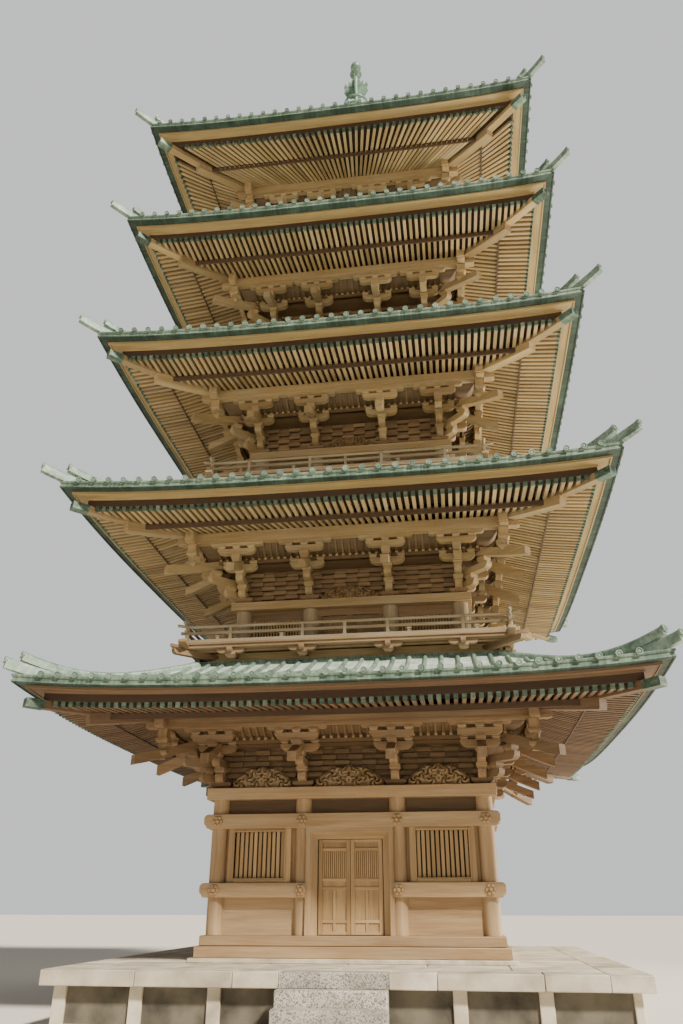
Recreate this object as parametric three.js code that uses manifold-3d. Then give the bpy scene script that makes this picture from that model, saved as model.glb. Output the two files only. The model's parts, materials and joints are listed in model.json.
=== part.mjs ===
// A five storey timber pagoda with copper roofs on a stone podium, at real size.
// Units are millimetres and +Z is up. The origin is the middle of the podium's underside,
// on the ground, and the front with its steps and door looks along -Y.
import * as THREE from "three";
import { mergeVertices } from "three/addons/utils/BufferGeometryUtils.js";
import Module from "manifold-3d";

const wasm = await Module();
wasm.setup();

// Running gap between pieces that touch
const GAP = 0.3;

// Stone podium
const PODIUM_HEIGHT = 860;
const PODIUM_HALF = 4630;
const CAP_THICKNESS = 220;
const CAP_OVERHANG = 180;
const PODIUM_POST_WIDTH = 210;
const PODIUM_POST_PROUD = 50;
const PODIUM_POST_GAPS = 7;

// Front steps
const STEP_HALF_WIDTH = 830;
const STEP_TREAD = 280;
const STEP_COUNT = 3;
const TOP_STONE_DEPTH = 360;

// Storeys, lowest first. All heights are above the top of the podium.
const COLUMN_LINE = [2480, 2300, 2120, 1940, 1760];
const INNER_COLUMN = [880, 850, 800, 750, 700];
const FLOOR_TOP = [420, 5600, 9530, 13290, 16890];
const PLATE_TOP = [2900, 6700, 10520, 14150, 17620];
const EAVE_BOTTOM = [4130, 8010, 11810, 15440, 18900];
const EAVE_HALF = [5520, 5360, 5200, 5040, 4900];
const STOREYS = COLUMN_LINE.length;

// Ground storey
const SILL_SPLIT = 255;
const LOWER_SILL_HALF = 2760;
const UPPER_SILL_HALF = 2690;
const SILL_INNER_HALF = 2350;
const SILL_LEDGE = 150;
const FLOOR_THICKNESS = 60;
const GROUND_COLUMN_RADIUS = 140;
const WAIST_BEAM = [1020, 1260];
const HEAD_BEAM = [2180, 2430];
const WINDOW = [1340, 2120];
const WINDOW_HALF = 500;
const WINDOW_FRAME = 55;
const SURROUND_OUT = 140;
const DOOR_HEAD = 1990;
const DOOR_HALF = 601;
const DOOR_FRAME_HALF = 800;

// Door leaves, each on a pivot near its outer edge
const LEAF_THICKNESS = 50;
const LEAF_MEETING = 3;
const LEAF_EDGE = 585;
const PIVOT_X = 560;
const PIVOT_RADIUS = 18;
const LEAF_CLEARANCE = 7;

// Walls and beams, measured outwards from the column line
const WALL_HALF = 50;
const BEAM_OUT = 220;
const FRAME_OUT = 200;
const BEAM_END = 300;
const PLATE_OVERHANG = 240;
const PLATE_HEIGHT = 210;
const UPPER_PLATE_HEIGHT = 180;
const UPPER_COLUMN_RADIUS = 150;
const COLUMN_SIDES = 12;
const UPPER_COLUMN_SIDES = 8;
const UPPER_BEAM_HEIGHT = 120;
const UPPER_BEAM_OUT = 170;
const UPPER_WINDOW_INSET = 200;
const UPPER_WINDOW_JAMB = 60;
const UPPER_DOOR_HALF = 430;
const UPPER_DOOR_PANEL = 25;

// Bracket sets and the eave purlin
const PURLIN_OUT = 950;
const PURLIN_HEIGHT = 300;
const PURLIN_HALF = 90;
const ARM_HALF = 80;
const BLOCK_HALF = 200;
const BLOCK_HEIGHT = 110;
const ARM_TIPS = [360, 640];
const ARM_RISE = 240;
const STACK_HALF = 70;
const SOFFIT_FOOT = 560;
const SOFFIT_THICKNESS = 60;
const TAIL_OUT = 1350;
const TAIL_TIP = [290, 470];
const TAIL_SLOPE = 0.49;

// Eaves and roofs
const DECK_THICKNESS = 120;
const DECK_LAP = 180;
const BOARD_SETBACK = 180;
const RAFTER_SETBACK = 340;
const EAVE_BOARD_STEP = 70;
const EAVE_BOARD_HEIGHT = 230;
const FLYING_LENGTH = 950;
const FLYING_RISE = 100;
const BASE_STEP = 90;
const EAVE_SEAT = 350;
const COPPER_EDGE = 170;
const SHELL_THICKNESS = 170;
const CORNER_LIFT = 190;
const ROOF_RISE = 900;
const ROOF_SAG = 0.22;
const TOP_ROOF_RISE = 2260;
const TOP_ROOF_SAG = 0.3;
const TOP_OPENING = 380;
const FLASHING_WIDTH = 230;
const FLASHING_HEIGHT = 120;
const RIDGE_HALF = 80;
const RIDGE_SETBACK = 60;
const RIDGE_SEAT = 60;
const RIDGE_LAP = 50;
const RIDGE_HEIGHT = 150;
const LOW_RIDGE_HEIGHT = 80;
const LOW_RIDGE_TIP = 230;
const UPPER_RIDGE_SETBACK = 430;
const UPPER_RIDGE_TIP = 340;
const LOW_TIP_RUN = 180;
const UPPER_TIP_RUN = 300;
const BASIN_CLEARANCE = 100;
// Places along a side where the curved eaves are worked out, closer together near the corners
const SIDE_PLACES = [-1, -0.72, 0, 0.72];

// Waist walls, balconies and railings
const WAIST_OUT = 400;
const WAIST_HALF = 60;
const BALCONY_OUT = 1000;
const EDGE_BEAM_END = 240;
const EDGE_BEAM_HEIGHT = 130;
const EDGE_BEAM_WIDTH = 180;
const BALCONY_DECK = 80;
const WAIST_ARM_HEIGHT = 80;
const RAIL_OUT = 920;
const RAIL_HALF = 35;
const RAILS = [[0, 80], [190, 245], [325, 385]];
const RAIL_POST_HALF = 45;
const CORNER_POST_HEIGHT = 520;

// Finial
const MAST_RADIUS = 80;
const MAST_SIDES = 8;
const BASIN_HALF = 520;
const BASIN_HEIGHT = 560;
const BASIN_RIM = 60;
const BASIN_RIM_HEIGHT = 110;
const BOWL_RADIUS = 430;
const BOWL_TURN = 0.82;
const NECK = [150, 480];
// The lotus collar's underside and lip, and the height of its hollow middle
const LOTUS = [[430, 700], [470, 790]];
const LOTUS_MIDDLE = 760;
const RING_COUNT = 9;
const RING_SPACING = 355;
const RING_RADIUS = [620, 430];
const RING_WIDTH = 70;
const RING_HEIGHT = 90;
const RING_SIDES = 10;
const FLAME_HEIGHT = 1100;
const FLAME_HALF = 430;
const FLAME_THICKNESS = 40;
const JEWEL_RADIUS = 190;

// Plain finishes
const finish = (color, roughness, metalness = 0) =>
  new THREE.MeshStandardMaterial({ color, roughness, metalness });
const STONE = finish(0xcfc6b4, 0.9);
const GRANITE = finish(0xb9b1a8, 0.8);
const TIMBER = finish(0x9c7a55, 0.8);
const WEATHERED_TIMBER = finish(0xa8987f, 0.85);
const DOOR_TIMBER = finish(0xb08a5c, 0.75);
const COPPER = finish(0x5f8f7c, 0.7, 0.1);
const BRONZE = finish(0x4d7a69, 0.6, 0.4);

// A closed solid from a geometry whose faces point outwards
function solidOf(geometry) {
  geometry.deleteAttribute("normal");
  geometry.deleteAttribute("uv");
  const merged = mergeVertices(geometry, 1e-3);
  const mesh = new wasm.Mesh({
    numProp: 3,
    vertProperties: new Float32Array(merged.attributes.position.array),
    triVerts: new Uint32Array(merged.index.array),
  });
  return new wasm.Manifold(mesh);
}

// The geometry of a finished solid
function geometryOf(solid) {
  const mesh = solid.getMesh();
  const geometry = new THREE.BufferGeometry();
  geometry.setAttribute("position", new THREE.BufferAttribute(new Float32Array(mesh.vertProperties), 3));
  geometry.setIndex(new THREE.BufferAttribute(new Uint32Array(mesh.triVerts), 1));
  geometry.computeVertexNormals();
  return geometry;
}

const join = (solids) => solids.reduce((sum, solid) => sum.add(solid));
const cut = (solid, tools) => tools.reduce((rest, tool) => rest.subtract(tool), solid);

// A block between two opposite corners
function block(x0, x1, y0, y1, z0, z1) {
  const geometry = new THREE.BoxGeometry(x1 - x0, y1 - y0, z1 - z0);
  geometry.translate((x0 + x1) / 2, (y0 + y1) / 2, (z0 + z1) / 2);
  return solidOf(geometry);
}

// An upright cylinder
function post(x, y, z0, z1, radius, sides) {
  const geometry = new THREE.CylinderGeometry(radius, radius, z1 - z0, sides);
  geometry.rotateX(Math.PI / 2);
  geometry.translate(x, y, (z0 + z1) / 2);
  return solidOf(geometry);
}

// A solid of revolution about the tower's axis, from [radius, height] points
function turned(points, sides) {
  const geometry = new THREE.LatheGeometry(points.map(([r, z]) => new THREE.Vector2(r, z)), sides);
  geometry.rotateX(Math.PI / 2);
  return solidOf(geometry);
}

// The front piece and its three copies, turned about the tower's axis
function fourSides(solid) {
  return [0, 90, 180, 270].map((turn) => solid.rotate([0, 0, turn]));
}

// A bar of outline [out, up] that points away from the tower, centred on x, front side
function outrigger(outline, x, half) {
  const shape = new THREE.Shape(outline.map(([out, up]) => new THREE.Vector2(out, up)));
  const geometry = new THREE.ExtrudeGeometry(shape, { depth: 2 * half, bevelEnabled: false });
  // The outline's plane becomes the upright plane through the bar, out along -Y
  const place = new THREE.Matrix4().makeBasis(
    new THREE.Vector3(0, -1, 0),
    new THREE.Vector3(0, 0, 1),
    new THREE.Vector3(-1, 0, 0),
  );
  geometry.applyMatrix4(place);
  geometry.translate(x + half, 0, 0);
  return solidOf(geometry);
}

// A square ring whose section is a closed list of [half width, height] points. The lift
// raises a point by its place along the side, from -1 to 1, and its half width.
function squareRing(section, places = [-1], lift = () => 0) {
  const stations = [];
  for (let side = 0; side < 4; side += 1) {
    for (const along of places) stations.push([side, along]);
  }
  const positions = [];
  for (const [side, along] of stations) {
    const cos = Math.round(Math.cos((side * Math.PI) / 2));
    const sin = Math.round(Math.sin((side * Math.PI) / 2));
    for (const [half, height] of section) {
      const x = along * half;
      const y = -half;
      positions.push(x * cos - y * sin, x * sin + y * cos, height + lift(along, half));
    }
  }
  const faces = [];
  const points = section.length;
  for (let i = 0; i < stations.length; i += 1) {
    const next = (i + 1) % stations.length;
    // The split of a face doesn't depend on the order of the section, so that two rings
    // that lie on each other stay parallel
    const cornerFirst = Math.abs(stations[i][1]) > Math.abs(stations[next][1] || 0);
    for (let k = 0; k < points; k += 1) {
      const after = (k + 1) % points;
      const a = i * points + k;
      const b = next * points + k;
      const c = next * points + after;
      const d = i * points + after;
      const outwards = section[k][0] < section[after][0];
      if (cornerFirst === outwards) faces.push(a, b, c, a, c, d);
      else faces.push(a, b, d, b, c, d);
    }
  }
  const geometry = new THREE.BufferGeometry();
  geometry.setAttribute("position", new THREE.Float32BufferAttribute(positions, 3));
  const area = section.reduce((sum, [h, z], k) => {
    const [h2, z2] = section[(k + 1) % points];
    return sum + h * z2 - h2 * z;
  }, 0);
  if (area < 0) {
    for (let f = 0; f < faces.length; f += 3) {
      const swap = faces[f + 1];
      faces[f + 1] = faces[f + 2];
      faces[f + 2] = swap;
    }
  }
  geometry.setIndex(faces);
  return solidOf(geometry);
}

// A square ring of rectangular section
function frameRing(inner, outer, z0, z1) {
  return squareRing([[inner, z0], [outer, z0], [outer, z1], [inner, z1]]);
}

// A plain square slab
function slab(half, z0, z1) {
  return block(-half, half, -half, half, z0, z1);
}

// The twelve column places of a storey
function columnPlaces(line, inner) {
  const along = [-line, -inner, inner, line];
  const places = [];
  for (const x of along) {
    for (const y of along) {
      if (Math.abs(x) === line || Math.abs(y) === line) places.push([x, y]);
    }
  }
  return places;
}

const tower = new THREE.Group();
tower.position.z = PODIUM_HEIGHT;

function addPiece(name, solid, material, parent = tower) {
  const piece = new THREE.Mesh(geometryOf(solid), material);
  piece.name = name;
  parent.add(piece);
  return piece;
}

// The podium: a masonry base with pale posts, under a cap slab
function podiumBase() {
  const half = PODIUM_HALF - CAP_OVERHANG;
  const top = -CAP_THICKNESS - GAP;
  const face = half - PODIUM_POST_PROUD;
  const pitch = (2 * half - PODIUM_POST_WIDTH) / PODIUM_POST_GAPS;
  const edge = [];
  for (let i = 0; i < PODIUM_POST_GAPS; i += 1) {
    const from = -half + i * pitch;
    if (i > 0) edge.push([from, -face]);
    edge.push([from, -half], [from + PODIUM_POST_WIDTH, -half], [from + PODIUM_POST_WIDTH, -face]);
  }
  edge.push([half - PODIUM_POST_WIDTH, -face], [half - PODIUM_POST_WIDTH, -half]);
  const outline = [];
  for (let side = 0; side < 4; side += 1) {
    const turn = (side * Math.PI) / 2;
    for (const [x, y] of edge) {
      outline.push(new THREE.Vector2(x * Math.cos(turn) - y * Math.sin(turn),
        x * Math.sin(turn) + y * Math.cos(turn)));
    }
  }
  const geometry = new THREE.ExtrudeGeometry(new THREE.Shape(outline),
    { depth: top + PODIUM_HEIGHT, bevelEnabled: false });
  geometry.translate(0, 0, -PODIUM_HEIGHT);
  return solidOf(geometry);
}

function podiumCap() {
  const inside = STEP_HALF_WIDTH + GAP;
  const notch = block(-inside, inside, -PODIUM_HALF - 1, -PODIUM_HALF + TOP_STONE_DEPTH + GAP,
    -CAP_THICKNESS - 1, 1);
  return slab(PODIUM_HALF, -CAP_THICKNESS, 0).subtract(notch);
}

// Three treads before the podium, and the granite stone let into the cap's edge
function frontSteps() {
  const rise = PODIUM_HEIGHT / (STEP_COUNT + 1);
  const profile = [[PODIUM_HALF - TOP_STONE_DEPTH, 0], [PODIUM_HALF - TOP_STONE_DEPTH, -CAP_THICKNESS],
    [PODIUM_HALF + GAP, -CAP_THICKNESS], [PODIUM_HALF + GAP, -PODIUM_HEIGHT]];
  for (let i = STEP_COUNT; i > 0; i -= 1) {
    const front = PODIUM_HALF + i * STEP_TREAD;
    profile.push([front, -PODIUM_HEIGHT + (STEP_COUNT - i) * rise]);
    profile.push([front, -PODIUM_HEIGHT + (STEP_COUNT - i + 1) * rise]);
  }
  profile.push([PODIUM_HALF + GAP, -rise], [PODIUM_HALF + GAP, 0]);
  return outrigger(profile, 0, STEP_HALF_WIDTH);
}

// Two sill courses round the ground floor, with a ledge for its boards
function groundSill() {
  const ledge = FLOOR_TOP[0] - FLOOR_THICKNESS - GAP;
  return squareRing([
    [SILL_INNER_HALF - SILL_LEDGE, GAP], [LOWER_SILL_HALF, GAP], [LOWER_SILL_HALF, SILL_SPLIT],
    [UPPER_SILL_HALF, SILL_SPLIT], [UPPER_SILL_HALF, FLOOR_TOP[0]],
    [SILL_INNER_HALF, FLOOR_TOP[0]], [SILL_INNER_HALF, ledge], [SILL_INNER_HALF - SILL_LEDGE, ledge],
  ]);
}

function groundFloor() {
  return slab(SILL_INNER_HALF - GAP, FLOOR_TOP[0] - FLOOR_THICKNESS, FLOOR_TOP[0]);
}

// Twelve round columns under one plate
function groundFrame() {
  const line = COLUMN_LINE[0];
  const plateBottom = PLATE_TOP[0] - PLATE_HEIGHT;
  const columns = columnPlaces(line, INNER_COLUMN[0]).map(([x, y]) =>
    post(x, y, FLOOR_TOP[0] + GAP, plateBottom + PLATE_HEIGHT / 2, GROUND_COLUMN_RADIUS,
      COLUMN_SIDES));
  const plate = frameRing(line - PLATE_OVERHANG, line + PLATE_OVERHANG, plateBottom, PLATE_TOP[0]);
  return join([plate, ...columns]);
}

const groundColumnCuts = columnPlaces(COLUMN_LINE[0], INNER_COLUMN[0]).map(([x, y]) =>
  post(x, y, 0, PLATE_TOP[0], GROUND_COLUMN_RADIUS + 2 * GAP, COLUMN_SIDES));

const groundWallTop = PLATE_TOP[0] - PLATE_HEIGHT - GAP;
const groundWallFoot = FLOOR_TOP[0] + GAP;

// One side bay of the ground storey, from x0 to x1, with its window
function windowBay(x0, x1) {
  const line = COLUMN_LINE[0];
  const middle = Math.sign(x0 + x1) * (line + INNER_COLUMN[0]) / 2;
  const outer = WINDOW_HALF + WINDOW_FRAME;
  const boards = block(x0, x1, -line - WALL_HALF, -line + WALL_HALF, groundWallFoot, groundWallTop);
  const surround = block(middle - outer, middle + outer, -line - SURROUND_OUT, -line + WALL_HALF,
    WINDOW[0] - WINDOW_FRAME, WINDOW[1] + WINDOW_FRAME);
  const hole = block(middle - WINDOW_HALF, middle + WINDOW_HALF, -line - 2 * BEAM_OUT, -line + BEAM_OUT,
    WINDOW[0], WINDOW[1]);
  return join([boards, surround]).subtract(hole);
}

function faceBeam(x0, x1, [z0, z1]) {
  const line = COLUMN_LINE[0];
  return block(x0, x1, -line - BEAM_OUT, -line, z0, z1);
}

// The front wall beside the doorway, on the side that the sign gives
function frontWallBeside(sign) {
  const line = COLUMN_LINE[0];
  const near = INNER_COLUMN[0] + GAP;
  const far = line + BEAM_END;
  const span = (from, to) => (sign < 0 ? [-to, -from] : [from, to]);
  const pieces = [
    windowBay(...span(near, line)),
    faceBeam(...span(DOOR_FRAME_HALF + GAP, far), WAIST_BEAM),
    faceBeam(...span(near, far), HEAD_BEAM),
  ];
  return cut(join(pieces), groundColumnCuts);
}

// The door's frame with the beam and boards over it
function frontDoorFrame() {
  const line = COLUMN_LINE[0];
  const half = INNER_COLUMN[0] - GAP;
  const surround = block(-DOOR_FRAME_HALF, DOOR_FRAME_HALF, -line - FRAME_OUT, -line + WALL_HALF + 10,
    groundWallFoot, HEAD_BEAM[0] + 10);
  const doorway = block(-DOOR_HALF, DOOR_HALF, -line - 2 * BEAM_OUT, -line + BEAM_OUT,
    groundWallFoot - 10, DOOR_HEAD);
  const boards = block(-half, half, -line - WALL_HALF, -line + WALL_HALF, HEAD_BEAM[0], groundWallTop);
  const pieces = [surround.subtract(doorway), boards, faceBeam(-half, half, HEAD_BEAM)];
  return cut(join(pieces), groundColumnCuts);
}

// A whole wall for a side or the back, with windows and a closed pair of doors
function groundWall() {
  const line = COLUMN_LINE[0];
  const inner = INNER_COLUMN[0];
  const end = line - GAP;
  const surround = block(-DOOR_FRAME_HALF, DOOR_FRAME_HALF, -line - FRAME_OUT, -line + WALL_HALF + 10,
    groundWallFoot, HEAD_BEAM[0] + 10);
  const doorway = block(-DOOR_HALF, DOOR_HALF, -line - 2 * BEAM_OUT, -line + BEAM_OUT,
    groundWallFoot - 10, DOOR_HEAD);
  const leaves = block(-DOOR_HALF - 10, DOOR_HALF + 10, -line - LEAF_THICKNESS / 2,
    -line + LEAF_THICKNESS / 2, groundWallFoot, DOOR_HEAD + 10);
  const pieces = [
    windowBay(-line, -inner),
    windowBay(inner, line),
    surround.subtract(doorway),
    leaves,
    block(-inner, inner, -line - WALL_HALF, -line + WALL_HALF, HEAD_BEAM[0], groundWallTop),
    faceBeam(-end, -DOOR_FRAME_HALF, WAIST_BEAM),
    faceBeam(DOOR_FRAME_HALF, end, WAIST_BEAM),
    faceBeam(-end, end, HEAD_BEAM),
  ];
  return cut(join(pieces), groundColumnCuts);
}

// A door leaf drawn about its own pivot axis, with a pin at its head and foot
function doorLeaf(sign) {
  const inner = PIVOT_X - LEAF_MEETING;
  const outer = LEAF_EDGE - PIVOT_X;
  const [x0, x1] = sign < 0 ? [-outer, inner] : [-inner, outer];
  const foot = groundWallFoot + LEAF_CLEARANCE;
  const head = DOOR_HEAD - LEAF_CLEARANCE;
  const leaf = block(x0, x1, -LEAF_THICKNESS / 2, LEAF_THICKNESS / 2, foot, head);
  const pin = post(0, 0, FLOOR_TOP[0] + GAP, DOOR_HEAD - GAP, PIVOT_RADIUS, 12);
  return join([leaf, pin]);
}

// A storey's wall above the ground storey: columns, boards, beams and plate in one frame,
// with the windows cut through and a thin panel in each doorway
function upperWalls(storey) {
  const line = COLUMN_LINE[storey];
  const inner = INNER_COLUMN[storey];
  const foot = FLOOR_TOP[storey] + GAP;
  const plateBottom = PLATE_TOP[storey] - UPPER_PLATE_HEIGHT;
  const bay = (line + inner) / 2;
  const windowHalf = (line - inner) / 2 - UPPER_COLUMN_RADIUS - UPPER_WINDOW_JAMB;
  const head = plateBottom - UPPER_WINDOW_INSET;
  const columns = columnPlaces(line, inner).map(([x, y]) =>
    post(x, y, foot, plateBottom + UPPER_PLATE_HEIGHT / 2, UPPER_COLUMN_RADIUS,
      UPPER_COLUMN_SIDES));
  const walls = frameRing(line - WALL_HALF, line + WALL_HALF, foot, plateBottom + 10);
  const beam = (z) => frameRing(line, line + UPPER_BEAM_OUT, z, z + UPPER_BEAM_HEIGHT);
  const plate = frameRing(line - PLATE_OVERHANG, line + PLATE_OVERHANG, plateBottom, PLATE_TOP[storey]);
  const through = (x, half, z0, z1) =>
    block(x - half, x + half, -line - WALL_HALF - 1, -line + WALL_HALF + 1, z0, z1);
  const recess = block(-UPPER_DOOR_HALF, UPPER_DOOR_HALF, -line - WALL_HALF - 1,
    -line - UPPER_DOOR_PANEL, foot + UPPER_BEAM_HEIGHT, head);
  const holes = [-bay, bay].map((x) =>
    through(x, windowHalf, foot + UPPER_WINDOW_INSET, head));
  const open = cut(walls, [...holes, recess].flatMap((tool) => fourSides(tool)));
  return join([plate, open, beam(foot), beam(plateBottom - UPPER_BEAM_HEIGHT + 5), ...columns]);
}

// The bracket zone of a storey: the wall's stacked beams, the soffit that leans out from them
// to the eave purlin, and stepped arms with a tail rafter at the inner columns and corners
function bracketRing(storey) {
  const line = COLUMN_LINE[storey];
  const foot = PLATE_TOP[storey] + GAP;
  const deck = EAVE_BOTTOM[storey] - GAP;
  const purlinFoot = EAVE_BOTTOM[storey] - PURLIN_HEIGHT;
  const wall = line + STACK_HALF;
  const purlin = line + PURLIN_OUT;
  const shell = squareRing([
    [line - STACK_HALF, foot], [wall, foot], [wall, foot + SOFFIT_FOOT],
    [purlin - PURLIN_HALF, purlinFoot + SOFFIT_THICKNESS], [purlin - PURLIN_HALF, purlinFoot],
    [purlin + PURLIN_HALF, purlinFoot], [purlin + PURLIN_HALF, deck], [purlin - PURLIN_HALF, deck],
    [purlin - PURLIN_HALF, purlinFoot + 2 * SOFFIT_THICKNESS],
    [wall, foot + SOFFIT_FOOT + SOFFIT_THICKNESS], [wall, deck], [line - STACK_HALF, deck],
  ]);
  // From the block outwards and up along the two arms, then down along the tail rafter to its
  // blunt tip and back in along its top
  const [near, far] = ARM_TIPS;
  const [tipFoot, tipTop] = TAIL_TIP;
  const outline = [
    [0, 0], [BLOCK_HALF, 0], [near, BLOCK_HEIGHT], [near, BLOCK_HEIGHT + ARM_RISE],
    [far, BLOCK_HEIGHT + ARM_RISE], [far, tipFoot + TAIL_SLOPE * (TAIL_OUT - far)],
    [TAIL_OUT, tipFoot], [TAIL_OUT, tipTop], [0, tipTop + TAIL_SLOPE * TAIL_OUT],
  ];
  const set = (x, start, reach) =>
    outrigger(outline.map(([out, up]) => [start + out * reach, foot + up]), x, ARM_HALF);
  const inner = INNER_COLUMN[storey];
  const diagonal = set(0, line * Math.SQRT2, Math.SQRT2).rotate([0, 0, 45]);
  const front = join([set(-inner, line, 1), set(inner, line, 1), diagonal]);
  return join([shell, ...fourSides(front)]);
}

// How far the eaves rise towards their corners
function cornerLift(storey) {
  const still = COLUMN_LINE[storey] + PURLIN_OUT + PURLIN_HALF;
  const edge = EAVE_HALF[storey];
  return (along, half) => {
    const out = Math.max(0, (half - still) / (edge - still));
    return CORNER_LIFT * Math.abs(along) ** 3 * out ** 2;
  };
}

// The inner edge of a storey's rafter deck, under the next storey's waist wall
function deckInner(storey) {
  const last = storey === STOREYS - 1;
  return last ? COLUMN_LINE[storey] - STACK_HALF : COLUMN_LINE[storey + 1] + WAIST_OUT - DECK_LAP;
}

// Two tiers of rafters as one deck: level to the purlin, then falling to the eave boards
function eaveRing(storey) {
  const edge = EAVE_HALF[storey];
  const bottom = EAVE_BOTTOM[storey];
  const purlin = COLUMN_LINE[storey] + PURLIN_OUT + PURLIN_HALF;
  const top = bottom + DECK_THICKNESS;
  const boardFoot = bottom - EAVE_BOARD_HEIGHT;
  const flyingHalf = edge - FLYING_LENGTH;
  return squareRing([
    [deckInner(storey), bottom], [purlin, bottom],
    [flyingHalf, boardFoot + FLYING_RISE - BASE_STEP], [flyingHalf, boardFoot + FLYING_RISE],
    [edge - RAFTER_SETBACK, boardFoot], [edge - RAFTER_SETBACK, bottom - EAVE_BOARD_STEP],
    [edge - BOARD_SETBACK, bottom - EAVE_BOARD_STEP],
    [edge - BOARD_SETBACK, bottom - GAP], [edge - EAVE_SEAT, bottom - GAP],
    [purlin, top], [deckInner(storey), top],
  ], SIDE_PLACES, cornerLift(storey));
}

// A roof's inner edge, its crest and its height at a share of the slope from the eave up,
// which hangs below a straight line
function roofSlope(storey) {
  const last = storey === STOREYS - 1;
  const inner = last ? TOP_OPENING : COLUMN_LINE[storey + 1] + WAIST_OUT + WAIST_HALF + GAP;
  const rise = last ? TOP_ROOF_RISE : ROOF_RISE;
  const sag = last ? TOP_ROOF_SAG : ROOF_SAG;
  const eave = EAVE_BOTTOM[storey] + COPPER_EDGE;
  return {
    inner,
    crest: last ? inner : inner + FLASHING_WIDTH,
    surface: (share) => eave + rise * (share - 2 * sag * share * (1 - share)),
  };
}

// A hip ridge on a roof's diagonal: a long upper tier and a low outer one, with raised tips
function hipRidge(storey) {
  const { crest, surface } = roofSlope(storey);
  const edge = EAVE_HALF[storey];
  const lift = cornerLift(storey);
  const over = (half, up) =>
    [half * Math.SQRT2, surface((edge - half) / (edge - crest)) + lift(1, half) + up];
  const top = Math.max(crest - RIDGE_LAP, BASIN_HALF + BASIN_CLEARANCE);
  const step = edge - UPPER_RIDGE_SETBACK;
  const tip = edge - RIDGE_SETBACK;
  const bends = [0.25, 0.5, 0.75].map((share) => top + (step - top) * share);
  const outline = [
    ...[top, ...bends, step, tip].map((half) => over(half, -RIDGE_SEAT)),
    over(tip, LOW_RIDGE_TIP), over(tip - LOW_TIP_RUN, LOW_RIDGE_HEIGHT), over(step, LOW_RIDGE_HEIGHT),
    over(step, UPPER_RIDGE_TIP), over(step - UPPER_TIP_RUN, RIDGE_HEIGHT),
    ...[...bends.reverse(), top].map((half) => over(half, RIDGE_HEIGHT)),
  ];
  return outrigger(outline, 0, RIDGE_HALF).rotate([0, 0, 45]);
}

// The copper roof: an even shell with a hollow slope, an eave edge, hip ridges and, where a
// storey stands on it, a raised flashing against the waist wall
function roofRing(storey) {
  const last = storey === STOREYS - 1;
  const edge = EAVE_HALF[storey];
  const bottom = EAVE_BOTTOM[storey];
  const slopeSteps = last ? 5 : 3;
  const { inner, crest, surface } = roofSlope(storey);
  const upper = [];
  const lower = [];
  for (let i = 0; i <= slopeSteps; i += 1) {
    const share = i / slopeSteps;
    upper.push([edge + (crest - edge) * share, surface(share)]);
  }
  for (let i = 1; i <= slopeSteps; i += 1) {
    const share = i / slopeSteps;
    const from = edge - EAVE_SEAT;
    lower.push([from + (inner - from) * share, surface(share) - SHELL_THICKNESS]);
  }
  const top = surface(1);
  const flashing = last ? [] : [[crest, top + FLASHING_HEIGHT], [inner, top + FLASHING_HEIGHT]];
  const shell = squareRing([
    [edge, bottom], ...upper, ...flashing, ...lower.reverse(),
    [edge - EAVE_SEAT, bottom], [edge - BOARD_SETBACK, bottom],
  ], SIDE_PLACES, cornerLift(storey));
  return join([shell, ...fourSides(hipRidge(storey))]);
}

// The waist wall of an upper storey with its small arms, under a balcony that is its floor
function balcony(storey) {
  const line = COLUMN_LINE[storey];
  const foot = EAVE_BOTTOM[storey - 1] + DECK_THICKNESS + GAP;
  const top = FLOOR_TOP[storey];
  const deckFoot = top - BALCONY_DECK;
  const beamFoot = top - EDGE_BEAM_HEIGHT;
  const edge = line + BALCONY_OUT;
  const waist = line + WAIST_OUT;
  const wall = frameRing(waist - WAIST_HALF, waist + WAIST_HALF, foot, deckFoot + 5);
  const rim = frameRing(edge - EDGE_BEAM_WIDTH, edge, beamFoot, deckFoot + 5);
  const armReach = edge - EDGE_BEAM_WIDTH / 2;
  const arm = (x) => block(x - ARM_HALF, x + ARM_HALF, -armReach, -waist,
    beamFoot - WAIST_ARM_HEIGHT, beamFoot + 5);
  const ends = block(-edge - EDGE_BEAM_END, edge + EDGE_BEAM_END, -edge + 20,
    -edge + EDGE_BEAM_WIDTH - 10, beamFoot + 10, top - 20);
  const front = join([ends, ...[-INNER_COLUMN[storey], INNER_COLUMN[storey]].map(arm)]);
  return join([slab(edge, deckFoot, top), wall, rim, ...fourSides(front)]);
}

// Three rails round the balcony on its corner posts
function railing(storey) {
  const foot = FLOOR_TOP[storey] + GAP;
  const line = COLUMN_LINE[storey] + RAIL_OUT;
  const rails = RAILS.map(([z0, z1]) =>
    frameRing(line - RAIL_HALF, line + RAIL_HALF, foot + z0, foot + z1));
  const corner = block(line - RAIL_POST_HALF, line + RAIL_POST_HALF, -line - RAIL_POST_HALF,
    -line + RAIL_POST_HALF, foot, foot + CORNER_POST_HEIGHT);
  return join([...rails, ...fourSides(corner)]);
}

const finialFoot = EAVE_BOTTOM[STOREYS - 1] + COPPER_EDGE + TOP_ROOF_RISE + GAP;
const ringsFoot = finialFoot + BASIN_HEIGHT + 900;
const flameFoot = ringsFoot + RING_COUNT * RING_SPACING + 60;
const jewelFoot = flameFoot + FLAME_HEIGHT + 60;

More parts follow.
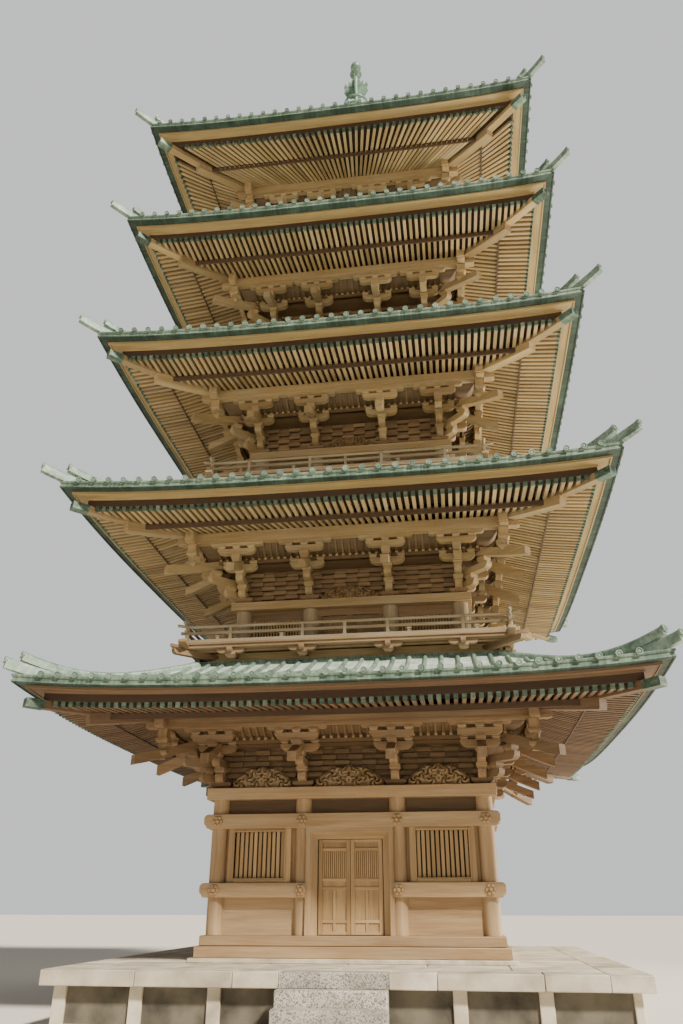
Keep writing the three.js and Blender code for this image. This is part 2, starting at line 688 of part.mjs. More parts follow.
// The dew basin, the upturned bowl and the lotus collar
function finialBase() {
  const basin = slab(BASIN_HALF, finialFoot, finialFoot + BASIN_HEIGHT);
  const rim = slab(BASIN_HALF + BASIN_RIM, finialFoot + BASIN_HEIGHT - BASIN_RIM_HEIGHT,
    finialFoot + BASIN_HEIGHT);
  const bowlFoot = finialFoot + BASIN_HEIGHT - 5;
  const bowl = [[0, bowlFoot]];
  for (let i = 0; i <= 5; i += 1) {
    const turn = (i / 5) * (Math.PI / 2) * BOWL_TURN;
    bowl.push([BOWL_RADIUS * Math.cos(turn), bowlFoot + BOWL_RADIUS * Math.sin(turn)]);
  }
  const collar = [NECK, ...LOTUS, [MAST_RADIUS, LOTUS_MIDDLE], [0, LOTUS_MIDDLE]];
  bowl.push(...collar.map(([radius, rise]) => [radius, bowlFoot + rise]));
  return join([basin, rim, turned(bowl, 16)]);
}

// Nine rings on a mast, growing smaller upwards
function finialRings() {
  const foot = finialFoot + BASIN_HEIGHT + 755 + GAP;
  const pieces = [post(0, 0, foot, flameFoot - GAP, MAST_RADIUS, MAST_SIDES)];
  for (let i = 0; i < RING_COUNT; i += 1) {
    const share = i / (RING_COUNT - 1);
    const radius = RING_RADIUS[0] + (RING_RADIUS[1] - RING_RADIUS[0]) * share;
    const z = ringsFoot + i * RING_SPACING;
    const outside = post(0, 0, z, z + RING_HEIGHT, radius, RING_SIDES);
    const inside = post(0, 0, z - 1, z + RING_HEIGHT + 1, radius - RING_WIDTH, RING_SIDES);
    const reach = radius - RING_WIDTH / 2;
    pieces.push(outside.subtract(inside), block(-reach, reach, -20, 20, z + 25, z + 65));
  }
  return join(pieces);
}

// Four flame plates round the mast
function finialFlame() {
  const shape = new THREE.Shape();
  shape.moveTo(0, 0);
  shape.lineTo(FLAME_HALF * 0.55, 0);
  shape.quadraticCurveTo(FLAME_HALF * 1.25, FLAME_HEIGHT * 0.3, FLAME_HALF * 0.85, FLAME_HEIGHT * 0.72);
  shape.lineTo(FLAME_HALF * 0.62, FLAME_HEIGHT * 0.55);
  shape.quadraticCurveTo(FLAME_HALF * 0.55, FLAME_HEIGHT * 0.85, 0, FLAME_HEIGHT);
  const geometry = new THREE.ExtrudeGeometry(shape,
    { depth: FLAME_THICKNESS, bevelEnabled: false, curveSegments: 5 });
  geometry.translate(0, 0, -FLAME_THICKNESS / 2);
  geometry.rotateX(Math.PI / 2);
  geometry.translate(0, 0, flameFoot);
  const mast = post(0, 0, flameFoot, jewelFoot - GAP, MAST_RADIUS * 0.75, MAST_SIDES);
  return join([mast, ...fourSides(solidOf(geometry))]);
}

// A small wheel and the pointed jewel
function finialJewel() {
  const z = jewelFoot;
  return turned([[0, z], [70, z], [210, z + 110], [70, z + 220], [60, z + 300],
    [JEWEL_RADIUS * 0.8, z + 360], [JEWEL_RADIUS, z + 460], [JEWEL_RADIUS * 0.8, z + 570],
    [60, z + 680], [0, z + 780]], 16);
}

addPiece("podium_base", podiumBase(), STONE);
addPiece("podium_cap", podiumCap(), STONE);
addPiece("front_steps", frontSteps(), GRANITE);
addPiece("ground_sill", groundSill(), TIMBER);
addPiece("ground_floor", groundFloor(), TIMBER);
addPiece("storey1_frame", groundFrame(), TIMBER);
addPiece("front_wall_left", frontWallBeside(-1), TIMBER);
addPiece("front_wall_right", frontWallBeside(1), TIMBER);
addPiece("front_door_frame", frontDoorFrame(), TIMBER);
for (const [side, sign] of [["left", -1], ["right", 1]]) {
  const leaf = addPiece(`door_leaf_${side}`, doorLeaf(sign), DOOR_TIMBER);
  leaf.position.set(sign * PIVOT_X, -COLUMN_LINE[0], 0);
}
// The side and back walls are the same wall, turned about the tower's axis
for (const [side, turn] of [["right", 90], ["back", 180], ["left", 270]]) {
  const end = side === "back" ? BEAM_END + GAP : 0;
  const wall = groundWall();
  const longer = [faceBeam(COLUMN_LINE[0] - 2 * GAP, COLUMN_LINE[0] + end, WAIST_BEAM),
    faceBeam(-COLUMN_LINE[0] - end, -COLUMN_LINE[0] + 2 * GAP, WAIST_BEAM),
    faceBeam(COLUMN_LINE[0] - 2 * GAP, COLUMN_LINE[0] + end, HEAD_BEAM),
    faceBeam(-COLUMN_LINE[0] - end, -COLUMN_LINE[0] + 2 * GAP, HEAD_BEAM)];
  const whole = side === "back" ? cut(join([wall, ...longer]), groundColumnCuts) : wall;
  addPiece(`${side}_wall`, whole.rotate([0, 0, turn]), TIMBER);
}
for (let storey = 0; storey < STOREYS; storey += 1) {
  const name = `storey${storey + 1}`;
  const timber = storey === 0 ? TIMBER : WEATHERED_TIMBER;
  if (storey > 0) {
    addPiece(`${name}_balcony`, balcony(storey), timber);
    addPiece(`${name}_railing`, railing(storey), timber);
    addPiece(`${name}_walls`, upperWalls(storey), timber);
  }
  addPiece(`${name}_brackets`, bracketRing(storey), timber);
  addPiece(`${name}_eaves`, eaveRing(storey), timber);
  addPiece(`${name}_roof`, roofRing(storey), COPPER);
}
addPiece("finial_base", finialBase(), BRONZE);
addPiece("finial_rings", finialRings(), BRONZE);
addPiece("finial_flame", finialFlame(), BRONZE);
addPiece("finial_jewel", finialJewel(), BRONZE);

const pagoda = new THREE.Group();
pagoda.add(tower);

export default pagoda;
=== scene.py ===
"""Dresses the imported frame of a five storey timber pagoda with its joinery, copper and stone.

Every size is in metres, in the frame's own axes: +Z up, the front with its door towards -Y.
A side of the tower is drawn once, as the front side, and turned about the axis for the others.
"""

import json
import logging
import math
from collections.abc import Callable
from dataclasses import dataclass, field
from enum import Enum

import bpy
import numpy as np
from mathutils import Matrix, Vector

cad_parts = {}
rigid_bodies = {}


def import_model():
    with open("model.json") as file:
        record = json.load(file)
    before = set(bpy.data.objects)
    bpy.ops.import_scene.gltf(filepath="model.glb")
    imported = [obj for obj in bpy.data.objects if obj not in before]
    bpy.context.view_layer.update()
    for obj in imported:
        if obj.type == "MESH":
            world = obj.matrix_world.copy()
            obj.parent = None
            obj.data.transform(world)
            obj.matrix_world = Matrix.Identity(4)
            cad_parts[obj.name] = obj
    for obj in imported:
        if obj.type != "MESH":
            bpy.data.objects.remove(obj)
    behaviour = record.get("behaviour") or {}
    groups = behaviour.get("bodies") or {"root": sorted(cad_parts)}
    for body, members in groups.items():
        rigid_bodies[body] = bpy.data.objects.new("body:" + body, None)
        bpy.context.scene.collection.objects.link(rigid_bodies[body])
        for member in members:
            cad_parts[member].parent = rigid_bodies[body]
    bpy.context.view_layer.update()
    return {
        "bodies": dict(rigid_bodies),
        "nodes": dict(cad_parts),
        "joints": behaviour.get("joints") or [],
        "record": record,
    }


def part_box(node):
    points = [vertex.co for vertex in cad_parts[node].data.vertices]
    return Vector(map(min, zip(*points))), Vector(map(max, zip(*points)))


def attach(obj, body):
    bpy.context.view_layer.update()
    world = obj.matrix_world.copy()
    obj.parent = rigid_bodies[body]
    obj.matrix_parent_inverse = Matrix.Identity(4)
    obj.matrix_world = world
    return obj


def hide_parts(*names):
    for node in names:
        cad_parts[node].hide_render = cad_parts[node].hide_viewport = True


Array = np.ndarray
Span = tuple[float, float]
Triple = tuple[float, float, float]
Outline = list[Span]
Stops = list[tuple[float, str]]
Tree = bpy.types.NodeTree
Socket = bpy.types.NodeSocket
Lift = Callable[[Array, Array], Array]
Under = Callable[[Array], Array]

LOG = logging.getLogger("pagoda")
RNG = np.random.default_rng(5)
BUILDING = "building"
QUARTERS = (0, 1, 2, 3)
JOINT = 0.004
GRAIN_SPREAD = 40.0
RELIEF_DEPTH = 0.003
EASED_EDGE_ANGLE = 40.0


class Grain(Enum):
    """Where a pattern's coordinates come from."""

    MEMBER = "the grain attribute of each timber or sheet"
    OBJECT = "object coordinates"


# Forms


@dataclass
class Form:
    """Points and faces, with a grain place and a tone for each point.

    Faces are kept by their number of corners. The grain place is in metres within a member,
    its first value along the member, and the tone is a number from 0 to 1 for each member.
    """

    points: Array
    faces: dict[int, Array]
    grain: Array
    tone: Array


def form_of(points: Array, faces: dict[int, Array], grain: Array | None = None) -> Form:
    """Make a form whose grain follows its own coordinates unless another is given.

    Args:
        points: An array of n by 3 places.
        faces: Corner indices, by the number of corners.
        grain: An array of n by 3 grain places.

    Returns:
        The form, turned so that its enclosed volume is positive.
    """
    points = np.asarray(points, dtype=float)
    grain = points.copy() if grain is None else np.asarray(grain, dtype=float)
    form = Form(points, faces, grain, np.full(len(points), 0.5))
    return outward(form)


def volume(form: Form) -> float:
    """Signed volume: a sum over fans of triangles of a . (b x c) / 6."""
    total = 0.0
    centre = form.points.mean(axis=0)
    for count, faces in form.faces.items():
        corners = form.points[faces] - centre
        for k in range(1, count - 1):
            cross = np.cross(corners[:, k], corners[:, k + 1])
            total += np.einsum("ij,ij->", corners[:, 0], cross) / 6.0
    return float(total)


def outward(form: Form) -> Form:
    """Turn every face over where the enclosed volume is negative."""
    if volume(form) >= 0:
        return form
    turned = {count: faces[:, ::-1] for count, faces in form.faces.items()}
    return Form(form.points, turned, form.grain, form.tone)


def merge(forms: list[Form]) -> Form:
    """Put several forms in one, each with its own points."""
    faces: dict[int, list[Array]] = {}
    start = 0
    for form in forms:
        for count, rows in form.faces.items():
            faces.setdefault(count, []).append(rows + start)
        start += len(form.points)
    return Form(
        np.concatenate([form.points for form in forms]),
        {count: np.concatenate(rows) for count, rows in faces.items()},
        np.concatenate([form.grain for form in forms]),
        np.concatenate([form.tone for form in forms]),
    )


def repeated(form: Form, frames: Array) -> Form:
    """Copy a form into each of k frames, each copy with its own tone.

    A point p becomes M p, and its grain place is p times the lengths of M's columns, moved by
    a random offset for each copy so that no two members show the same grain.

    Args:
        form: The form to copy.
        frames: An array of k by 4 by 4 matrices.

    Returns:
        One form with all the copies.
    """
    frames = np.asarray(frames, dtype=float)
    copies = len(frames)
    count = len(form.points)
    points = np.einsum("kij,nj->kni", frames[:, :3, :3], form.points) + frames[:, None, :3, 3]
    scale = np.linalg.norm(frames[:, :3, :3], axis=1)
    grain = form.grain[None] * scale[:, None, :] + RNG.uniform(0.0, GRAIN_SPREAD, (copies, 1, 3))
    tone = np.repeat(RNG.random(copies), count)
    shift = (np.arange(copies) * count)[:, None, None]
    faces = {sides: (rows[None] + shift).reshape(-1, sides) for sides, rows in form.faces.items()}
    return Form(points.reshape(-1, 3), faces, grain.reshape(-1, 3), tone)


def turned(form: Form, quarters: float) -> Form:
    """Turn a form about the tower's axis by a number of quarter turns."""
    angle = quarters * math.pi / 2
    cos, sin = math.cos(angle), math.sin(angle)
    spin = np.array([[cos, -sin, 0.0], [sin, cos, 0.0], [0.0, 0.0, 1.0]])
    return Form(form.points @ spin.T, form.faces, form.grain, form.tone)


def four_sides(form: Form) -> Form:
    """The front form and its three copies on the other sides."""
    return merge([turned(form, quarter) for quarter in QUARTERS])


def moved(form: Form, shift: Triple) -> Form:
    """A form moved by a shift."""
    return Form(form.points + np.array(shift), form.faces, form.grain, form.tone)


def toned(form: Form, tone: float) -> Form:
    """A form whose members all have one tone. A low tone darkens a part, and some pieces use it as painted
    shade.
    """
    return Form(form.points, form.faces, form.grain, np.full(len(form.points), tone))


# Shapes


def grid_faces(rows: int, columns: int, round_rows: bool, round_columns: bool) -> Array:
    """Four-cornered faces of a grid of points, closed on itself where asked."""
    row = np.arange(rows if round_rows else rows - 1)
    column = np.arange(columns if round_columns else columns - 1)
    i, j = np.meshgrid(row, column, indexing="ij")
    k, m = (i + 1) % rows, (j + 1) % columns
    corners = [i * columns + j, k * columns + j, k * columns + m, i * columns + m]
    return np.stack(corners, axis=-1).reshape(-1, 4)


def stacked(rings: Array, grain: Array | None = None) -> Form:
    """A closed form from a stack of m rings of n points each, with flat ends.

    Args:
        rings: An array of m by n by 3 places.
        grain: Their grain places, where these don't follow the places themselves.

    Returns:
        The form, its normals outward.
    """
    count, corners, _ = rings.shape
    quads = grid_faces(count, corners, False, True)
    first = np.arange(corners)
    caps = np.stack([first, first[::-1] + (count - 1) * corners])
    faces = {4: np.concatenate([quads, caps])} if corners == 4 else {4: quads, corners: caps}
    return form_of(rings.reshape(-1, 3), faces, None if grain is None else grain.reshape(-1, 3))


def rectangle(x0: float, x1: float, z0: float, z1: float) -> Outline:
    """A rectangle's corners, in order round it."""
    return [(x0, z0), (x1, z0), (x1, z1), (x0, z1)]


def prism(outline: Outline, depth: float) -> Form:
    """An outline in the x, z plane carried along y by a depth, centred on y = 0."""
    flat = np.asarray(outline, dtype=float)
    front = np.column_stack([flat[:, 0], np.full(len(flat), -depth / 2), flat[:, 1]])
    return stacked(np.stack([front, front + np.array([0.0, depth, 0.0])]))


UNIT_BLOCK = prism(rectangle(-0.5, 0.5, -0.5, 0.5), 1.0)


def frames_between(starts: Array, ends: Array, width: float, height: float,
                   up: Triple = (0.0, 0.0, 1.0)) -> Array:
    """Frames of bars: x from start to end, y across by the width, z up by the height."""
    along = ends - starts
    length = np.linalg.norm(along, axis=1, keepdims=True)
    across = np.cross(np.asarray(up)[None], along / length)
    across /= np.linalg.norm(across, axis=1, keepdims=True)
    rise = np.cross(along / length, across)
    frames = np.tile(np.eye(4), (len(starts), 1, 1))
    frames[:, :3, 0] = along
    frames[:, :3, 1] = across * width
    frames[:, :3, 2] = rise * height
    frames[:, :3, 3] = (starts + ends) / 2
    return frames


def bars(starts: Array, ends: Array, width: float, height: float,
         up: Triple = (0.0, 0.0, 1.0)) -> Form:
    """Square bars, one from each start to its end, centred on the line between them."""
    starts = np.atleast_2d(np.asarray(starts, dtype=float))
    ends = np.atleast_2d(np.asarray(ends, dtype=float))
    return repeated(UNIT_BLOCK, frames_between(starts, ends, width, height, up))


def boxes(lows: Array, highs: Array) -> Form:
    """Blocks between opposite corners, each with its grain along its longest side."""
    lows = np.atleast_2d(np.asarray(lows, dtype=float))
    highs = np.atleast_2d(np.asarray(highs, dtype=float))
    size = highs - lows
    longest = np.argmax(size, axis=1)
    frames = np.tile(np.eye(4), (len(lows), 1, 1))
    frames[:, :3, :3] = 0.0
    rows = np.arange(len(lows))
    for step in range(3):
        axis = (longest + step) % 3
        frames[rows, axis, step] = size[rows, axis]
    frames[:, :3, 3] = (lows + highs) / 2
    return repeated(UNIT_BLOCK, frames)


def box(x0: float, x1: float, y0: float, y1: float, z0: float, z1: float) -> Form:
    """One block between two corners."""
    return boxes([[x0, y0, z0]], [[x1, y1, z1]])


def box_row(x: Array, width: float, y: Span, z: Span) -> Form:
    """Blocks of one size, their middles at the given places along the wall."""
    lows = np.column_stack([x - width / 2, np.full(len(x), y[0]), np.full(len(x), z[0])])
    return boxes(lows, lows + np.array([width, y[1] - y[0], z[1] - z[0]]))


def bar_row(x: Array, y: float, z: Span, width: float, thick: float) -> Form:
    """Upright bars at the given places along the wall, between two heights."""
    starts = np.column_stack([x, np.full(len(x), y), np.full(len(x), z[0])])
    return bars(starts, starts + np.array([0.0, 0.0, z[1] - z[0]]), width, thick, up=(0.0, 1.0, 0.0))


def lapped_square(outer: float, inner: float, z: Span) -> Form:
    """Four beams in a square, the front and back ones laid across the ends of the others."""
    parts = []
    for quarter in QUARTERS:
        end = outer if quarter % 2 == 0 else inner - JOINT
        parts.append(turned(box(-end, end, -outer, -inner, *z), quarter))
    return merge(parts)


def sweep(profile: Outline | Array, paths: Array, sizes: Array | None = None) -> Form:
    """A closed profile carried along each of k paths, with flat ends.

    A point of the profile (a, b) stands at path + s (a side + b rise), where side is level and
    square to the path, rise is square to both, and s is the size at that place of the path.

    Args:
        profile: An array of n by 2 points.
        paths: An array of k by m by 3 places, or of m by 3 for a single path.
        sizes: The m scales of the profile along the path.

    Returns:
        One form with k members.
    """
    profile = np.asarray(profile, dtype=float)
    paths = paths[None] if paths.ndim == 2 else paths
    members, places, _ = paths.shape
    tangent = np.gradient(paths, axis=1)
    tangent /= np.linalg.norm(tangent, axis=2, keepdims=True)
    side = np.cross(np.array([[[0.0, 0.0, 1.0]]]), tangent)
    side /= np.linalg.norm(side, axis=2, keepdims=True)
    rise = np.cross(tangent, side)
    offset = side[:, :, None] * profile[:, :1] + rise[:, :, None] * profile[:, 1:]
    if sizes is not None:
        offset = offset * sizes[:, None, None]
    points = paths[:, :, None] + offset
    step = np.linalg.norm(np.diff(paths, axis=1), axis=2)
    run = np.concatenate([np.zeros((members, 1)), np.cumsum(step, axis=1)], axis=1)
    grain = np.empty_like(points)
    grain[..., 0] = run[:, :, None]
    grain[..., 1:] = profile
    grain += RNG.uniform(0.0, GRAIN_SPREAD, (members, 1, 1, 3))
    form = merge([stacked(rings, own) for rings, own in zip(points, grain)])
    form.tone = np.repeat(RNG.random(members), places * len(profile))
    return form


def lathe(profile: Outline, sides: int, centre: Span = (0.0, 0.0)) -> Form:
    """A profile of (radius, height) points turned about an upright axis, with flat end caps."""
    radius, height = np.asarray(profile, dtype=float).T[:, :, None]
    turn = np.linspace(0.0, 2 * math.pi, sides, endpoint=False)
    across, deep, height = radius * np.cos(turn), radius * np.sin(turn), height + 0 * turn
    points = np.stack([centre[0] + across, centre[1] + deep, height], axis=-1)
    return stacked(points, np.stack([height, across, deep], axis=-1))


def shell(top: Array, bottom: Array) -> Form:
    """A closed plate between an upper and a lower grid of points of one shape."""
    rows, columns, _ = top.shape
    count = rows * columns
    quads = grid_faces(rows, columns, False, False)
    under = quads[:, ::-1] + count
    index = np.arange(count).reshape(rows, columns)
    loop = np.concatenate([index[0, :], index[1:, -1], index[-1, -2::-1], index[-2:0:-1, 0]])
    after = np.roll(loop, -1)
    rim = np.column_stack([loop, after, after + count, loop + count])
    points = np.concatenate([top.reshape(-1, 3), bottom.reshape(-1, 3)])
    return form_of(points, {4: np.concatenate([quads, under, rim])})


def no_lift(along: Array, half: Array) -> Array:
    """A lift of nothing, for straight rings."""
    return 0.0 * along * half


def square_ring(section: Outline, lift: Lift = no_lift, steps: int = 2) -> Form:
    """A closed section of (half width, height) points carried round the tower.

    At a share a of a side, from -1 to 1, a point stands at x = a h, y = -h, z = height plus
    lift(a, h). The sides meet on the diagonals, and the places stand closer towards them.

    Args:
        section: The section's points.
        lift: How far a point is raised.
        steps: Places along each side.

    Returns:
        The ring, its grain along each side.
    """
    section = np.asarray(section, dtype=float)
    half, height = section[:, 0], section[:, 1]
    ease = np.linspace(-1.0, 1.0, steps + 1)[:-1]
    along = (np.sign(ease) * (1 - (1 - np.abs(ease)) ** 1.3))[:, None]
    around = np.cumsum(np.linalg.norm(np.diff(section, axis=0, prepend=section[:1]), axis=1))
    x, y = along * half, 0 * along - half
    z = height + lift(along, half)
    rings = []
    grains = []
    for quarter in QUARTERS:
        cos, sin = math.cos(quarter * math.pi / 2), math.sin(quarter * math.pi / 2)
        rings.append(np.stack([x * cos - y * sin, x * sin + y * cos, z], axis=-1))
        grains.append(np.stack([x + 9 * quarter, around + 0 * x, 0 * x], axis=-1))
    points = np.concatenate(rings)
    faces = grid_faces(len(points), len(section), True, True)
    return form_of(points.reshape(-1, 3), {4: faces}, np.concatenate(grains).reshape(-1, 3))


def disc(radius: float, sides: int) -> Array:
    """A round profile."""
    turn = np.linspace(0.0, 2 * math.pi, sides, endpoint=False)
    return radius * np.column_stack([np.cos(turn), np.sin(turn)])


# Pieces


def add_piece(name: str, form: Form, finish: "Finish", body: str = BUILDING,
              replaces: tuple[str, ...] = (), bevel: float = 0.0, sharp: float = 35.0) -> bpy.types.Object:
    """Make a scene piece from a form.

    Args:
        name: The piece's name.
        form: Its points and faces.
        finish: The finish that dresses it.
        body: The body that it rides on.
        replaces: The nodes that it stands for.
        bevel: The width of its eased edges.
        sharp: The angle in degrees past which an edge stays crisp.

    Returns:
        The piece.
    """
    mesh = bpy.data.meshes.new(name)
    counts = np.concatenate([np.full(len(rows), count) for count, rows in form.faces.items()])
    corners = np.concatenate([rows.reshape(-1) for rows in form.faces.values()])
    mesh.vertices.add(len(form.points))
    mesh.vertices.foreach_set("co", form.points.astype(np.float32).reshape(-1))
    mesh.loops.add(len(corners))
    mesh.loops.foreach_set("vertex_index", corners.astype(np.int32))
    mesh.polygons.add(len(counts))
    starts = np.concatenate([[0], np.cumsum(counts)[:-1]])
    mesh.polygons.foreach_set("loop_start", starts.astype(np.int32))
    mesh.polygons.foreach_set("loop_total", counts.astype(np.int32))
    grain = mesh.attributes.new("grain", "FLOAT_VECTOR", "POINT")
    grain.data.foreach_set("vector", form.grain.astype(np.float32).reshape(-1))
    tone = mesh.attributes.new("tone", "FLOAT", "POINT")
    tone.data.foreach_set("value", form.tone.astype(np.float32))
    mesh.update(calc_edges=True)
    mesh.validate()
    mesh.polygons.foreach_set("use_smooth", np.ones(len(mesh.polygons), dtype=bool))
    mesh.set_sharp_from_angle(angle=math.radians(sharp))
    piece = bpy.data.objects.new(name, mesh)
    bpy.context.scene.collection.objects.link(piece)
    mesh.materials.append(finish.material())
    if bevel > 0:
        soften = piece.modifiers.new("eased edges", "BEVEL")
        soften.width = bevel
        soften.segments = 1
        soften.limit_method = "ANGLE"
        soften.angle_limit = math.radians(EASED_EDGE_ANGLE)
        soften.harden_normals = False
    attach(piece, body)
    if replaces:
        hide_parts(*replaces)
    LOG.info("%s: %d points, %d faces", name, len(form.points), len(counts))
    return piece


# Finishes


def linear(code: str) -> tuple[float, float, float, float]:
    """Turn an sRGB hex colour to a linear colour with alpha 1."""
    parts = [int(code[k:k + 2], 16) / 255 for k in (1, 3, 5)]
    values = [p / 12.92 if p <= 0.04045 else ((p + 0.055) / 1.055) ** 2.4 for p in parts]
    return (values[0], values[1], values[2], 1.0)


def add_node(tree: Tree, kind: str, sockets: dict | None = None, stops: Stops = (),
             **settings: object) -> bpy.types.Node:
    """Add a node with its settings and links.

    Args:
        tree: The tree that it goes in.
        kind: The node's type.
        sockets: For an input's name or number, its value or the socket that feeds it.
        stops: The places and colours along a ramp.
        settings: The node's own settings.

    Returns:
        The node.
    """
    made = tree.nodes.new(kind)
    for name, value in settings.items():
        setattr(made, name, value)
    for socket, value in (sockets or {}).items():
        if isinstance(value, Socket):
            tree.links.new(value, made.inputs[socket])
        else:
            made.inputs[socket].default_value = value
    for index, (place, code) in enumerate(stops):
        elements = made.color_ramp.elements
        element = elements[index] if index < len(elements) else elements.new(place)
        element.position = place
        element.color = linear(code)
    return made


@dataclass(frozen=True)
class Finish:
    """A surface finish: its name, how rough it is and where its pattern's places come from."""

    name: str
    roughness: float
    grain: Grain = Grain.MEMBER

    def material(self) -> bpy.types.Material:
        """The finish's material, made once."""
        made = bpy.data.materials.get(self.name)
        if made is None:
            made = bpy.data.materials.new(self.name)
            made.use_nodes = True
            tree = made.node_tree
            shader = tree.nodes["Principled BSDF"]
            shader.inputs["Roughness"].default_value = self.roughness
            self.paint(tree, shader)
        return made

    def places(self, tree: Tree) -> Socket:
        """The coordinates that the pattern reads."""
        if self.grain is Grain.MEMBER:
            return add_node(tree, "ShaderNodeAttribute", attribute_name="grain").outputs["Vector"]
        return add_node(tree, "ShaderNodeTexCoord").outputs["Object"]

    def tone(self, tree: Tree) -> Socket:
        """The tone of each member."""
        return add_node(tree, "ShaderNodeAttribute", attribute_name="tone").outputs["Fac"]

    def varied(self, tree: Tree, colour: Socket, share: float, stops: Stops) -> Socket:
        """The colour multiplied, by a share, by the shade that each member's tone gives."""
        shade = add_node(tree, "ShaderNodeValToRGB", {"Fac": self.tone(tree)}, stops)
        sockets = {0: share, 6: colour, 7: shade.outputs[0]}
        return add_node(tree, "ShaderNodeMix", sockets, data_type="RGBA", blend_type="MULTIPLY").outputs[2]

    def patched(self, tree: Tree, colour: Socket, value: Socket, span: Span,
                patch: tuple[float, str]) -> Socket:
        """The colour with patches of another one where a value passes a span.

        Args:
            tree: The material's tree.
            colour: The colour under the patches.
            value: The pattern that they follow.
            span: Where in the pattern they begin, and where they are at their strongest.
            patch: How strong they are at most, and their colour.

        Returns:
            The patched colour.
        """
        most, code = patch
        share = add_node(tree, "ShaderNodeMapRange", {"Value": value, "From Min": span[0],
                         "From Max": span[1], "To Min": 0.0, "To Max": most})
        sockets = {0: share.outputs[0], 6: colour, 7: linear(code)}
        return add_node(tree, "ShaderNodeMix", sockets, data_type="RGBA").outputs[2]

    def dress(self, tree: Tree, shader: bpy.types.Node, colour: Socket, strength: float,
              height: Socket) -> None:
        """Give the shader its colour and a relief of a few millimetres."""
        bump = add_node(tree, "ShaderNodeBump",
                        {"Strength": strength, "Distance": RELIEF_DEPTH, "Height": height})
        tree.links.new(colour, shader.inputs["Base Color"])
        tree.links.new(bump.outputs[0], shader.inputs["Normal"])

    def paint(self, tree: Tree, shader: bpy.types.Node) -> None:
        """Fill in the shader. Each finish has its own way."""
        raise NotImplementedError


@dataclass(frozen=True, kw_only=True)
class TwoPatterns(Finish):
    """A finish of two patterns, each from a dark through a middle to a light colour."""

    dark: str
    middle: str
    light: str

    def blend(self, tree: Tree, first: Socket, first_at: Triple, second: Socket, second_at: Triple) -> Socket:
        """Both patterns in the three colours, the second at 40 %.

        Args:
            tree: The material's tree.
            first: The broader pattern.
            first_at: Its values at the three colours.
            second: The finer pattern.
            second_at: Its values at the three colours.

        Returns:
            The colour.
        """
        sockets = {0: 0.4}
        for index, pattern, values in ((6, first, first_at), (7, second, second_at)):
            stops = list(zip(values, (self.dark, self.middle, self.light)))
            sockets[index] = add_node(tree, "ShaderNodeValToRGB", {"Fac": pattern}, stops).outputs[0]
        return add_node(tree, "ShaderNodeMix", sockets, data_type="RGBA").outputs[2]


@dataclass(frozen=True, kw_only=True)
class Timber(TwoPatterns):
    """Unpainted zelkova, sawn and planed. Its rays and pores read as fine streaks along it."""

    grey: str = "#8d8373"
    weathering: float = 0.3

    def paint(self, tree: Tree, shader: bpy.types.Node) -> None:
        """Fibres of 6 mm, drawn at 12 mm so that they show, and growth figure of 120 mm."""
        places = self.places(tree)
        fine = add_node(tree, "ShaderNodeMapping", {"Vector": places, "Scale": (2.2, 80.0, 80.0)})
        fibre = add_node(tree, "ShaderNodeTexNoise", {
            "Vector": fine.outputs[0], "Scale": 1.0, "Detail": 3.0, "Roughness": 0.6}).outputs[0]
        wide = add_node(tree, "ShaderNodeMapping", {"Vector": places, "Scale": (0.5, 8.0, 8.0)})
        figure = add_node(tree, "ShaderNodeTexNoise", {
            "Vector": wide.outputs[0], "Scale": 1.0, "Detail": 2.0, "Distortion": 0.5}).outputs[0]
        wood = self.blend(tree, figure, (0.15, 0.5, 0.85), fibre, (0.25, 0.5, 0.75))
        wood = self.varied(tree, wood, 0.8, [(0.0, "#c4bdb2"), (0.5, "#e6e2dc"), (1.0, "#ffffff")])
        worn = add_node(tree, "ShaderNodeTexNoise", {"Vector": places, "Scale": 0.9, "Detail": 3.0})
        wood = self.patched(tree, wood, worn.outputs[0], (0.42, 0.68), (self.weathering, self.grey))
        self.dress(tree, shader, wood, 0.25, fibre)


@dataclass(frozen=True, kw_only=True)
class PatinaCopper(TwoPatterns):
    """Sheet copper under a green patina: cloudy, and chalky where rain runs."""

    brown: str

    def paint(self, tree: Tree, shader: bpy.types.Node) -> None:
        """Clouds of 400 mm, rain streaks of 60 mm down the slope, and specks of bare brown."""
        places = self.places(tree)
        cloud = add_node(tree, "ShaderNodeTexNoise", {
            "Vector": places, "Scale": 2.5, "Detail": 5.0}).outputs[0]
        fall = add_node(tree, "ShaderNodeMapping", {"Vector": places, "Scale": (16.0, 1.3, 16.0)})
        streak = add_node(tree, "ShaderNodeTexNoise",
                          {"Vector": fall.outputs[0], "Scale": 1.0, "Detail": 3.0}).outputs[0]
        colour = self.blend(tree, cloud, (0.32, 0.5, 0.7), streak, (0.35, 0.52, 0.7))
        speck = add_node(tree, "ShaderNodeTexNoise", {"Vector": places, "Scale": 14.0, "Detail": 4.0})
        colour = self.patched(tree, colour, speck.outputs[0], (0.6, 0.72), (0.7, self.brown))
        colour = self.varied(tree, colour, 0.7, [(0.0, "#c2c8c4"), (1.0, "#ffffff")])
        shader.inputs["Metallic"].default_value = 0.15
        self.dress(tree, shader, colour, 0.12, cloud)


